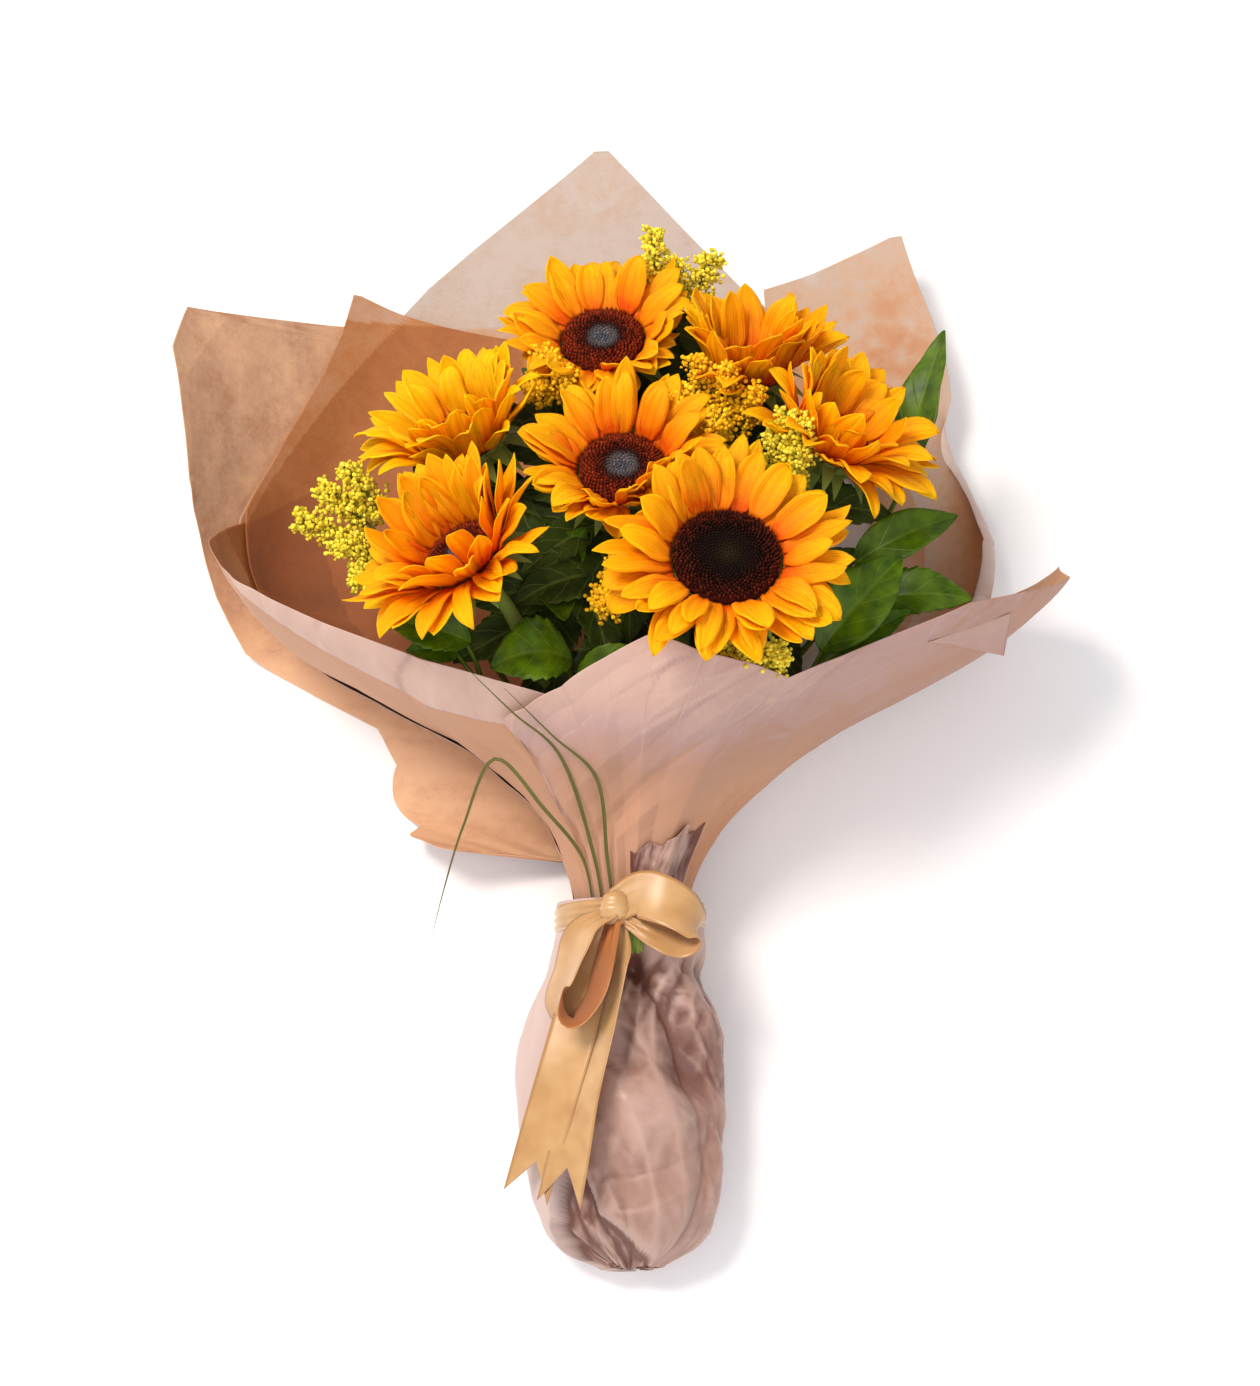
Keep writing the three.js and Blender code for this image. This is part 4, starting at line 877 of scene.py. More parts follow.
# %% [markdown]
# ## Green stems and bracts
# Under each head is a green cup with pointed bracts in two rows, and a hairy stem as thick as a
# little finger. The stems bend at the top, run down to the neck side by side, and end at their
# cuts in the bag.

# %% Stems
GAP = 0.3  # between a disc and the cup under it
STEM_RADII = (4.9, 3.8)  # at the cut and under the head


def neck_places(slot):
    """Where a stem passes the neck: its slot is an offset to the right and to the front."""
    right, front = slot
    return [TIE + right * X_AXIS + along * AXIS + front * FRONT for along in (-14, 14)]


def cut_end(slot, thing):
    """Where a stem ends in the bag: 138 to 147 mm from the foot of the tie."""
    right, front = slot
    return np.array([right, -138 - 9 * chance(thing, 9), 18 + front])


def bracts(head, count, length, drop):
    """Pointed leaves round the cup: half-width 5.5 (1 - t)^0.8, and a slope that falls with t."""
    middle, facing, side, up = AXES[head]
    radius = SUNFLOWERS[head]["disc"]
    thing = np.arange(count) + 60 * head + 7 * drop
    turn = 2 * np.pi * (np.arange(count) + 0.5 * chance(thing, 31)) / count
    out = turned(turn, side, up)
    across = np.cross(facing, out)
    t, s = np.linspace(0, 1, 7), np.linspace(-1, 1, 5)
    reach = radius - 3 + length * (0.85 + 0.3 * chance(thing, 32))[:, None] * t
    height = -DISC_DEPTH - drop - (6 + 6 * chance(thing, 33))[:, None] * t ** 2
    half = 5.5 * (1 - t) ** 0.8
    points = (middle + reach[..., None, None] * out[:, None, None]
              + (height[..., None] + 1.2 * (s ** 2) * (1 - t[:, None]))[..., None] * facing
              + (half[:, None] * s)[None, ..., None] * across[:, None, None])
    return points, grid_faces(7, 5, patches=count), {"leafy": 1.0}


def green_stem(head):
    """A turned cup, two rows of bracts, and a slightly knotty tube that gets thinner upwards."""
    middle, facing = AXES[head][:2]
    flower = SUNFLOWERS[head]
    top, radius = -DISC_DEPTH - GAP, flower["disc"]
    t = np.linspace(0, 1, 9)
    profile = np.stack([4 + (radius - 3) * np.sqrt(1 - t ** 2), top - 13 * t], -1)
    profile = np.vstack([[0, top], [radius + 1, top], profile[1:], [0, top - 13]])
    points = [cut_end(flower["slot"], head), *neck_places(flower["slot"]),
              middle + (top - 42) * facing, middle + (top - 11) * facing]
    path = curve(points, 60)
    radii = np.linspace(*STEM_RADII, 60) * (1 + 0.04 * np.sin(np.arange(60)))
    return join_parts((*lathe(head, profile, 32), {"leafy": 0.6}), (*tube(path, radii, 14), {"leafy": 0.0}),
                      bracts(head, 11, 19, 0.5), bracts(head, 9, 15, 3.5))


# %% [markdown]
# ## Green skins
# Stems are pale green and matt, since a fuzz of short hairs scatters the light. Smooth leaves have
# a thin coat of wax, so they shine, and a sunflower's own leaves are rough and matt. A leaf is
# deep green, with a paler midrib and side veins that slant towards its tip.
# The veins follow each blade, so they read how far along and across it a point lies.

# %% Stem and leaf materials
def green_skin(name, stem_colour, leaf_colours, vein_colour, roughness, clearness=0.55):
    """leafy mixes stem into leaf. A side vein is where 9 (along - 0.3 |across|) comes near an even
    number, and the midrib is where |across| is near 0."""
    material = new_material(name)
    leafy, along, across = (add(material, "Attribute", attribute_name=value).outputs["Fac"]
                            for value in ("leafy", "along", "across"))
    here = add(material, "TexCoord").outputs["Object"]
    clouds = add(material, "TexNoise", {"Vector": here, "Scale": size(9), "Detail": 4.0})
    blade = add(material, "ValToRGB", {"Fac": clouds.outputs["Fac"]}, stops=leaf_colours)
    half = add(material, "Math", {0: across}, operation="ABSOLUTE")
    slant = add(material, "Math", {0: half.outputs[0], 1: -0.3, 2: along}, operation="MULTIPLY_ADD")
    rows = add(material, "Math", {0: slant.outputs[0], 1: 9.0}, operation="MULTIPLY")
    near = add(material, "Math", {0: rows.outputs[0], 1: 1.0}, operation="PINGPONG")
    vein = add(material, "MapRange", {"Value": near.outputs[0], "From Min": 0.0, "From Max": 0.12,
                                      "To Min": 1.0, "To Max": 0.0})
    midrib = add(material, "MapRange", {"Value": half.outputs[0], "From Min": 0.02, "From Max": 0.1,
                                        "To Min": 1.0, "To Max": 0.0})
    lines = add(material, "Math", {0: vein.outputs[0], 1: midrib.outputs[0]}, operation="MAXIMUM")
    shown = add(material, "Math", {0: lines.outputs[0], 1: clearness}, operation="MULTIPLY")
    veined = add(material, "MixRGB", {"Fac": shown.outputs[0], "Color1": blade.outputs["Color"],
                                      "Color2": linear(vein_colour)})
    colour = add(material, "MixRGB", {"Fac": leafy, "Color1": linear(stem_colour),
                                      "Color2": veined.outputs["Color"]})
    relief = add(material, "Math", {0: lines.outputs[0], 1: -1.0, 2: clouds.outputs["Fac"]},
                 operation="MULTIPLY_ADD")
    bump = add(material, "Bump", {"Height": relief.outputs[0], "Strength": 0.45, "Distance": 0.3 * MM})
    shader = add(material, "BsdfPrincipled", {
        "Base Color": colour.outputs["Color"], "Roughness": roughness, "IOR": 1.45,
        "Specular IOR Level": 0.22, "Normal": bump.outputs["Normal"]})
    add(material, "OutputMaterial", {"Surface": shader.outputs["BSDF"]})
    return material


STEM_SKIN = green_skin("hairy_stem_skin", "#6E7D33", [(0.3, "#3E4F12"), (0.7, "#5A6B1E")], "#7C8A40",
                       roughness=0.6)
LEAF_SKIN = green_skin("waxy_leaf_skin", "#5E7322", [(0.3, "#2D4805"), (0.7, "#577507")], "#738C28",
                       roughness=0.36, clearness=0.3)
SHADE_SKIN = green_skin("matt_sunflower_leaf_skin", "#4E5A1C", [(0.3, "#232F06"), (0.7, "#3E4F10")],
                        "#6A7834", roughness=0.62)
for head in range(len(SUNFLOWERS)):
    node = f"sunflower_{head + 1}_stem"
    make_piece(node + "_hairy", green_stem(head), [STEM_SKIN], [node])

# %% [markdown]
# ## Leafy stems
# Glossy leaves fill the gaps: some have a smooth edge and others saw teeth, and all are pointed.
# A leaf is a grid along its arched rib and across its width. The two halves rise from the rib
# like an open book, the edge waves a little, and the teeth are a saw wave on the width.

# %% Leaves
LEAF_THICKNESS = 0.3
TEETH_STEP = 5.5  # from one saw tooth to the next
LEAF_ROWS, LEAF_COLUMNS = 49, 13
STALK_ROWS = 50
# Each blade is its base, tip, width, arch, lean in degrees, and the depth of its teeth as a share.
LEAFY_STEMS = {
    "right": {"slot": [17.4, 0], "fork": [98, 140, 96], "blades": [
        [[112, 166, 112], [165, 190, 118], 24, 7, 10, 0],
        [[118, 150, 100], [172, 150, 104], 26, 8, 15, 0.12]]},
    "front_right": {"slot": [13.2, 10.4], "fork": [82, 92, 100], "blades": [
        [[93, 110, 126], [134, 157, 136], 32, 8, 5, 0],
        [[92, 104, 120], [138, 132, 126], 18, 4, 0, 0.1]]},
    "back_right": {"slot": [12, -6.9], "fork": [128, 205, 70], "blades": [
        [[142, 222, 92], [164, 300, 116], 26, 4, -35, 0]]},
    "front_left": {"slot": [-8.8, 15.3], "fork": [-30, 84, 108], "blades": [
        [[-28, 104, 130], [-68, 98, 132], 34, 12, -10, 0.14],
        [[-26, 96, 128], [6, 106, 138], 14, 4, 0, 0.1]]},
    "left": {"slot": [-13.2, 10.4], "fork": [-72, 96, 104], "blades": [
        [[-78, 116, 124], [-120, 126, 128], 24, 6, -15, 0.14],
        [[-84, 112, 120], [-110, 112, 122], 16, 4, -10, 0.1]]},
    "middle": {"slot": [-12, 6.9], "fork": [-34, 140, 108], "blades": [
        [[-42, 150, 112], [-22, 178, 128], 22, 4, 5, 0.1],
        [[-40, 146, 112], [-32, 122, 136], 20, 4, 10, 0.1]]},
}


def stalk_path(slot, fork, thing):
    """From the cut through the neck to the fork, keeping near the axis where the paper is narrow."""
    low, high = neck_places(slot)
    fork = np.array(fork, float)
    way = fork - high
    lengthwise = AXIS * (way @ AXIS)
    middle = high + 0.5 * lengthwise + 0.34 * (way - lengthwise)
    return curve([cut_end(slot, thing), low, high, middle, fork], STALK_ROWS)


def leaf_blade(base, tip, width, arch, lean, teeth):
    """rib(t) + across s half(t) + upper (0.25 |s| half + waves); half is width/2 sin(pi t^0.8)^0.8."""
    base, tip = np.array(base, float), np.array(tip, float)
    forward = unit(tip - base)
    upper = np.array([math.sin(math.radians(lean)), 0, math.cos(math.radians(lean))])
    upper = unit(upper - (upper @ forward) * forward)
    across = np.cross(upper, forward)
    t, s = np.linspace(0, 1, LEAF_ROWS)[:, None], np.linspace(-1, 1, LEAF_COLUMNS)[None]
    length = np.linalg.norm(tip - base)
    saw = (t * length / TEETH_STEP) % 1
    half = width / 2 * (np.sin(np.pi * t ** 0.8) ** 0.8 * (1 + teeth * (saw - 0.5)) + 0.02)
    edge_waves = 0.9 * np.sin(t * length / 5 + arch) * s ** 2
    veins = 0.5 * fold(8 * t - 2.4 * np.abs(s)) * np.abs(s)
    height = 4 * arch * t * (1 - t) + 0.25 * np.abs(s) * half + edge_waves + veins
    rib = base + t[..., None] * (tip - base)
    points = rib + (s * half)[..., None] * across + height[..., None] * upper
    values = {"leafy": 1.0, "along": np.broadcast_to(t, height.shape),
              "across": np.broadcast_to(s, height.shape)}
    return points, grid_faces(LEAF_ROWS, LEAF_COLUMNS), values


def leafy_stem(stem, thing):
    """A stalk, and for each blade a thin stalk of its own that runs into the rib."""
    path = stalk_path(stem["slot"], stem["fork"], thing)
    parts = [(*tube(path, np.linspace(1.6, 1.5, STALK_ROWS), 8), {"leafy": 0.0})]
    for blade in stem["blades"]:
        points, faces, values = leaf_blade(*blade)
        base = np.array(blade[0], float)
        joint = points[4, LEAF_COLUMNS // 2] - 0.5 * np.array([0, 0, 1])
        way = curve([path[-1], path[-1] + 0.6 * (base - path[-1]), joint], 14)
        parts += [(points, faces, values), (*tube(way, np.linspace(1.5, 0.8, 14), 8), {"leafy": 0.0})]
    return join_parts(*parts)


for index, (name, stem) in enumerate(LEAFY_STEMS.items()):
    node = "leaves_" + name
    make_piece(node + "_veined", leafy_stem(stem, 20 + index), [LEAF_SKIN], [node], LEAF_THICKNESS)

# %% [markdown]
# ## Leaves in the shade of the flowers
# A sunflower stem keeps its own broad leaves, and the florist leaves them on to fill the bunch.
# They lie under the heads, matt and dark. Their places follow the golden angle, as the florets
# do, so they cover the middle evenly.

# %% Broad leaves under the heads
UNDERGROWTH = 66
ELLIPSE_MIDDLE, ELLIPSE_HALF = np.array([6, 189]), np.array([110, 100])
# Three leaves close the gap between the two heads at the back, each from its base to its tip.
GAP_LEAVES = [([4, 256, 118], [30, 298, 130]), ([48, 266, 122], [22, 304, 128]),
              ([-4, 280, 116], [34, 288, 128])]


def undergrowth():
    """Leaves round a point of the bunch: the k-th lies at sqrt(k / n) of an ellipse, k golden angles
    round, and points outwards with its own turn, rise and size."""
    parts = []
    for k in range(UNDERGROWTH):
        share, turn = math.sqrt((k + 0.5) / UNDERGROWTH), k * GOLDEN_ANGLE
        x, y = ELLIPSE_MIDDLE + ELLIPSE_HALF * share * np.array([math.cos(turn), math.sin(turn)])
        at = np.array([x, y, 114 + 16 * chance(k, 41) - 20 * share ** 2])
        heading = turn + 1.6 * (chance(k, 42) - 0.5)
        length = 38 + 22 * chance(k, 43)
        reach = np.array([math.cos(heading), math.sin(heading), 0.35 * (chance(k, 44) - 0.25)])
        blade = (at - 0.5 * length * reach, at + 0.5 * length * reach, 20 + 14 * chance(k, 45),
                 3 + 7 * chance(k, 46), 50 * (chance(k, 47) - 0.5), 0.12)
        parts.append(leaf_blade(*blade))
    parts += [leaf_blade(base, tip, 27, 6, 15, 0.12) for base, tip in GAP_LEAVES]
    return join_parts(*parts)


make_piece("broad_leaves_veined", undergrowth(), [SHADE_SKIN], thickness=LEAF_THICKNESS)

# %% [markdown]
# ## Goldenrod
# Goldenrod carries hundreds of tiny yellow heads on short side twigs along an arching plume. Each
# twig starts on the plume's curve, the twigs turn round it by the golden angle, and buds of about
# 2 mm sit along the outer part of each. Towards the tip the twigs get shorter.

# %% Sprays of goldenrod
GOLDENROD = {
    "left": {"slot": [-17.65, 0], "fork": [-104, 172, 88], "tips": [
        [-168, 189, 115], [-157, 204, 120], [-144, 214, 124], [-146, 174, 116], [-138, 158, 112]]},
    "back": {"slot": [0, -13.85], "fork": [16, 290, 92], "tips": [
        [12, 332, 160], [24, 322, 148], [43, 326, 146]]},
    "back_left": {"slot": [-12, -6.9], "fork": [-38, 246, 118], "tips": [
        [-43, 259, 158], [-33, 247, 160], [-48, 247, 152]]},
    "middle": {"slot": [12, 6.9], "fork": [42, 208, 118], "tips": [
        [33, 252, 168], [49, 244, 172], [24, 230, 172], [62, 232, 170], [42, 214, 174]]},
    "right": {"slot": [16.5, 4], "fork": [78, 176, 118], "tips": [
        [84, 206, 184], [76, 210, 184], [70, 202, 180], [80, 194, 178]]},
    "centre": {"slot": [0, 13.5], "fork": [-8, 128, 120], "tips": [
        [14, 160, 176], [4, 150, 176], [-5, 140, 166], [-12, 126, 152]]},
    "front": {"slot": [8.8, 15.3], "fork": [58, 92, 114], "tips": [
        [43, 97, 150], [56, 95, 155], [72, 98, 150]]},
}
TWIGS, BUDS_ON_TWIG = 40, 9
FIRST_TWIG, LAST_TWIG = 0.42, 0.98  # shares of the plume's length
PLUME_ROWS = 24


def plume(fork, tip, thing):
    """A quadratic curve that arches upwards, (1 - t)^2 fork + 2 t (1 - t) lifted + t^2 tip, with
    twigs out from it and buds along the twigs."""
    fork, tip = np.array(fork, float), np.array(tip, float)
    lifted = fork + 0.6 * (tip - fork) + np.array([0, 0, 6 + 5 * chance(thing, 11)])
    t = np.linspace(0, 1, PLUME_ROWS)[:, None]
    path = (1 - t) ** 2 * fork + 2 * t * (1 - t) * lifted + t ** 2 * tip
    k = np.arange(TWIGS)
    where = FIRST_TWIG + (LAST_TWIG - FIRST_TWIG) * (k / (TWIGS - 1)) ** 0.9
    start = np.stack([np.interp(where, t[:, 0], path[:, axis]) for axis in range(3)], -1)
    forward = unit(tip - fork)
    side = unit(np.cross(forward, np.array([0.2, 0.1, 1.0])))
    other = np.cross(forward, side)
    out = turned(k * GOLDEN_ANGLE + thing, side, other) + 0.55 * forward
    reach = (10.5 * (1 - 0.75 * where) + 1.5) * (0.7 + 0.6 * chance(k + 50 * thing, 12))
    ends = start + reach[:, None] * out
    twig = start[:, None] + np.linspace(0, 1, 2)[None, :, None] * (ends - start)[:, None]
    thick = np.array([0.35, 0.2])
    across = unit(np.cross(out, forward))
    above = unit(np.cross(across, out))
    corners = np.stack([across, above, -across, -above], 1)
    twigs = twig[:, :, None] + thick[None, :, None, None] * corners[:, None]
    n = np.arange(TWIGS * BUDS_ON_TWIG)
    on, step = n // BUDS_ON_TWIG, n % BUDS_ON_TWIG
    luck = chance(n + 400 * thing, 13)
    at = start[on] + (0.3 + 0.75 * (step + luck) / BUDS_ON_TWIG)[:, None] * (ends - start)[on]
    jitter = np.stack([chance(n + 400 * thing, trait) - 0.5 for trait in (14, 15, 16)], -1)
    at = at + 3 * jitter
    facing = unit(out[on] + 1.6 * jitter + np.array([0, 0, 0.5]))
    bud_points, bud_faces = buds(at, facing, 0.7 + 0.6 * luck, 1.4 + 1.0 * luck)
    yellow = np.repeat((0.55 + 0.45 * chance(n, 17))[:, None], BUD_POINTS, axis=1)
    stalk_points, stalk_faces = tube(path, np.linspace(1.1, 0.5, PLUME_ROWS), 6)
    return [(stalk_points, split(stalk_faces), {"yellow": 0.0}),
            (twigs, split(grid_faces(2, 4, closed=True, patches=TWIGS)), {"yellow": 0.15}),
            (bud_points, bud_faces, {"yellow": yellow})]


def spray(shape, thing):
    """A stalk up to the fork, and a plume from there to each of the tips."""
    path = stalk_path(shape["slot"], shape["fork"], thing)
    points, faces = tube(path, np.linspace(1.6, 1.4, STALK_ROWS), 8)
    parts = [(points, split(faces), {"yellow": 0.0})]
    for k, tip in enumerate(shape["tips"]):
        parts += plume(shape["fork"], tip, thing * 10 + k)
    return join_parts(*parts)


# %% [markdown]
# ## Goldenrod colours
# The open heads are dusty mustard yellow, the buds greener, and the twigs light green. Pollen and
# the fine threads of the florets make the yellow matt. Three of the sprays are riper than the
# others, and nearer to orange.

# %% Goldenrod material
def dusty_florets(name, stops):
    """yellow, which is 0 on a twig and up to 1 on an open floret, picks the colour."""
    material = new_material(name)
    yellow = add(material, "Attribute", attribute_name="yellow").outputs["Fac"]
    colour = add(material, "ValToRGB", {"Fac": yellow}, stops=stops)
    shader = add(material, "BsdfPrincipled", {
        "Base Color": colour.outputs["Color"], "Roughness": 0.75, "IOR": 1.4, "Specular IOR Level": 0.2})
    add(material, "OutputMaterial", {"Surface": shader.outputs["BSDF"]})
    return material


FRESH = dusty_florets("dusty_fresh_goldenrod", [
    (0.0, "#66782A"), (1.0, "#FFEC50"), (0.5, "#A9A42C"), (0.75, "#E6CC30")])
RIPE = dusty_florets("dusty_ripe_goldenrod", [
    (0.0, "#66701C"), (1.0, "#FFD024"), (0.5, "#D6A016"), (0.75, "#F6BA14")])
RIPE_SPRAYS = ("middle", "back_left", "centre")
for index, (name, shape) in enumerate(GOLDENROD.items()):
    node = "goldenrod_" + name
    skin = RIPE if name in RIPE_SPRAYS else FRESH
    make_piece(node + "_florets", spray(shape, 10 + index), [skin], [node])

# %% [markdown]
# ## Blades of grass
# Three long blades are tucked under the ribbon. A blade is a narrow, shallow channel that tapers
# to a point, so it is a strip with raised edges, carried along a curve. It has begun to dry, so it
# is dull and partly straw-coloured.

# %% Grass
GRASS_HALF, GRASS_THICKNESS = 0.85, 0.35
# The front sheet's angle at which a blade is tucked in, and the points that it passes from there.
# TUCKED holds how far from the tie it lies there, and how high over the sheet.
TUCKED = [(-3, 2), (9, 2.2), (28, 5)]
GRASS = {
    "long": [127, [[-42, 38, 99], [-66, 62, 105], [-82, 34, 86], [-93, 8, 60], [-99, -6, 38]]],
    "upright": [117, [[-35, 58, 122], [-56, 71, 139], [-79, 88, 156]]],
    "short": [107, [[-17, 48, 117], [-37, 62, 132], [-60, 79, 150]]],
}


def grass_blade(angle, points):
    """path + half(t) (s across + 0.35 s^2 upper), with half GRASS_HALF that narrows to both ends."""
    lift = turned(math.radians(angle), X_AXIS, FRONT)
    tucked = [funnel(SHEETS["wrap_front"], np.array(float(angle)), np.array(float(distance))) + above * lift
              for distance, above in TUCKED]
    path = curve([*tucked, *points], 60)
    forward = unit(np.gradient(path, axis=0))
    across = unit(np.cross(forward, np.array([0.2, -0.3, 1])))
    upper = np.cross(across, forward)
    t, s = np.linspace(0, 1, 60), np.linspace(-1, 1, 5)
    half = GRASS_HALF * np.minimum(1, np.minimum(0.4 + 3 * t, 1.9 * (1 - t) + 0.02))
    height = 0.35 * half[:, None] * s ** 2
    blade = (path[:, None] + (half[:, None] * s)[..., None] * across[:, None]
             + height[..., None] * upper[:, None])
    return blade, grid_faces(60, 5), {"leafy": 0.6}


GRASS_SKIN = green_skin("dry_grass_blade", "#4F5222", [(0.3, "#454A1C"), (0.7, "#6A6030")], "#6E6A38",
                        roughness=0.6)
for name, (angle, points) in GRASS.items():
    node = "grass_" + name
    blade = grass_blade(angle, points)
    make_piece(node + "_blade", blade, [GRASS_SKIN], [node], GRASS_THICKNESS)

# %% [markdown]
# ## The paper bag
# The stems stand in a bag of the same kind of paper, with a soft sheen and a rose-brown colour.
# It has been squeezed by hand, so it is full of sharp creases. Paper can't stretch, so a crumpled
# sheet is made of flat facets between straight creases. Nets of flat triangles of several sizes,
# laid over each other, give just that.

# %% The bag's form
BAG_COLLAR = 35.6  # radius under the ribbon
BAG_END = -169.6
SMOOTHED = 24
# Place along the bag from the tie, half-width, half-height, and the height of its middle.
BAG = np.array([
    [-169, 20, 10, 17], [-162, 36, 21, 24], [-146, 46, 29, 29], [-112, 52, 34, 34], [-70, 55.5, 36.5, 37],
    [-44, 49, 36.5, 37.5], [-26, 40.5, 36.3, 39.2], [-12, BAG_COLLAR, BAG_COLLAR, 42.8],
    [8, BAG_COLLAR, BAG_COLLAR, 48.1]])


def bag_surface(place, angle, out):
    """middle + (half-width + out) cos a to the side and (half-height + out) sin a up, tilted
    towards the neck, and never under the table. The profile is the mean over SMOOTHED mm, and its
    last 14 mm close like the end of an ellipse."""
    offsets = np.linspace(-SMOOTHED / 2, SMOOTHED / 2, 9)
    half_width, half_height, middle = (
        sum(np.interp(place + offset, BAG[:, 0], BAG[:, k]) for offset in offsets) / 9 for k in (1, 2, 3))
    closing = np.sqrt(1 - 0.8 * ease(-place, 156, -BAG_END) ** 2)
    half_width, half_height = half_width * (0.3 + 0.7 * closing), half_height * closing
    tilt = RISE * ease(place, -62, -12)
    height = (half_height + out) * np.sin(angle)
    x = (half_width + out) * np.cos(angle)
    return np.stack([x, place - height * np.sin(tilt), np.maximum(middle + height * np.cos(tilt), 0.2)], -1)


# The border between the crumpled part and the smoother panels on the right and on the left:
# places and angles, in radians.
PANEL_PLACES = [-168, -163, -150, -110, -96, -80]
RIGHT_PANEL = [1.0, 1.43, 1.98, 2.3, 2.3, 1.6]
LEFT_PANEL = [3.6, 3.3, 2.6, 2.15, 2.1, 2.05]


def panels(place, angle):
    """1 on the right and on the left panel, which end in a step of 1 mm towards the middle."""
    right = ease(np.interp(place, PANEL_PLACES, RIGHT_PANEL) - angle, 0, 0.03) * ease(-place, 80, 100)
    left = ease(angle - np.interp(place, PANEL_PLACES, LEFT_PANEL), 0, 0.03) * ease(5.2 - angle, 0, 0.4)
    return right * ease(angle, -0.2, 0.3), left


def crumple(place, angle):
    """Creases in mm, up to 3 mm out and 14 mm in: crumpled facets of 40, 22 and 8 mm, long folds of
    74 by 25 mm that run aslant, pleats that run down from the neck, a dent below the knot, where
    the paper parts over the stems, and two smoother panels that lie over the rest."""
    u, v = place, 45 * angle
    large, medium, small = (
        facets(u / width, v / width, thing) for width, thing in ((40, 1), (22, 2), (8, 3)))
    long = facets((u + 0.6 * v) / 74, (v - 0.4 * u) / 25, 5)
    pleat = fold(5 * angle / np.pi + 0.6 * np.sin(place / 23 + 1.3 * angle) + 0.6 * large + 0.2 * medium)
    near_neck = ease(place, -128, -40)
    foot = ease(-place, 110, 150) * ease(np.cos(angle - 2.4), 0.1, 0.9)
    free = ease(-place, 6, 30)
    right, left = panels(place, angle)
    rough = (1 - 0.2 * right) * (1 - 0.75 * left)
    dent = np.exp(-((place + 26) / 11) ** 2 - ((angle - 1.49) / 0.17) ** 2)
    crumpled = 3 * large + 14 * long + (3.5 + 4 * foot) * medium + (0.9 + 1.6 * foot) * small
    inwards = (free * rough * crumpled + 2.2 * pleat * near_neck * rough * (0.3 + 0.7 * free)
               + 8 * dent - 2.2 * right + 0.5 * left)
    return np.minimum(1 + 3 * free - inwards * (0.25 + 0.75 * free), 3.2)


def bag_body(rows=230, columns=270):
    """The whole bag, closed at its bottom by a ring of no size. Dents, deep hollows and valley folds
    get painted shade, ridges a painted highlight, and the left panel is pale."""
    place = np.concatenate([[BAG_END], np.linspace(-169, 8, rows)])[:, None]
    angle = np.linspace(-1.2, 2 * np.pi - 1.2, columns, endpoint=False)[None]
    place, angle = np.broadcast_arrays(place, angle)
    height = crumple(place, angle)
    points = bag_surface(place, angle, height)
    points[0] = np.array([0, -166, 14])
    right, left = panels(place, angle)
    lines = crease_lines(height, 3)
    # Painted shade: darker where the paper lies deeper in and along valley folds, less on the panels.
    worn = np.clip(0.24 - (2 + height) / 18 + 1.4 * lines, 0, 0.9) * (1 - 0.4 * right) * (1 - 0.85 * left)
    # The left panel is paler, and ridges get a painted highlight.
    pale = np.maximum(left, np.clip(-0.5 * lines, 0, 0.22))
    return points, grid_faces(rows + 1, columns, closed=True), {"pale": pale, "worn": worn}


def collar():
    """The bag's frayed top, which stands up above the ribbon over the front sheet: the funnel's own
    formula, lifted by 1 to 5 mm of crumpled facets, with a ragged upper edge."""
    v, u = np.meshgrid(np.linspace(0, 1, 110), np.linspace(0, 1, 44))
    angle = 34 + 56 * v
    top = 40 - 14 * v + 9 * facets(v * 8, 0 * v, 4)
    points = funnel(SHEETS["wrap_front"], angle, -3 + (top + 3) * u)
    outwards = unit(points - TIE - ((points - TIE) @ AXIS)[..., None] * AXIS)
    crumpled = 1.4 + 3.2 * facets(v * 9, u * 4, 6) + 1.2 * facets(v * 22, u * 9, 8)
    lift = crumpled * np.sin(np.pi * v) ** 0.4 - 0.7
    # Painted shade on the collar: the lower its crumpled paper lies, the darker it is.
    return points + lift[..., None] * outwards, grid_faces(44, 110), {
        "pale": 0.0, "worn": np.clip(1.3 - 0.35 * lift, 0, 1)}


# %% [markdown]
# ## Bag paper
# The paper is smooth and slightly waxed, so its facets catch the light one by one. Dents, deep
# hollows and valley folds are darker with painted shade, and ridges lighter with a painted
# highlight. Where it is folded over on the left, the outer layer is paler and pinker.

# %% Bag material and piece
BAG_THICKNESS = 0.25
BAG_PAPER = new_material("waxed_rose_kraft_paper")
here = add(BAG_PAPER, "TexCoord").outputs["Object"]
pale = add(BAG_PAPER, "Attribute", attribute_name="pale").outputs["Fac"]
bag_clouds = add(BAG_PAPER, "TexNoise", {"Vector": here, "Scale": size(28), "Detail": 5.0})
bag_brown = add(BAG_PAPER, "ValToRGB", {"Fac": bag_clouds.outputs["Fac"]}, stops=[
    (0.3, "#A17C6C"), (0.7, "#B59284")])
worn = add(BAG_PAPER, "Attribute", attribute_name="worn").outputs["Fac"]
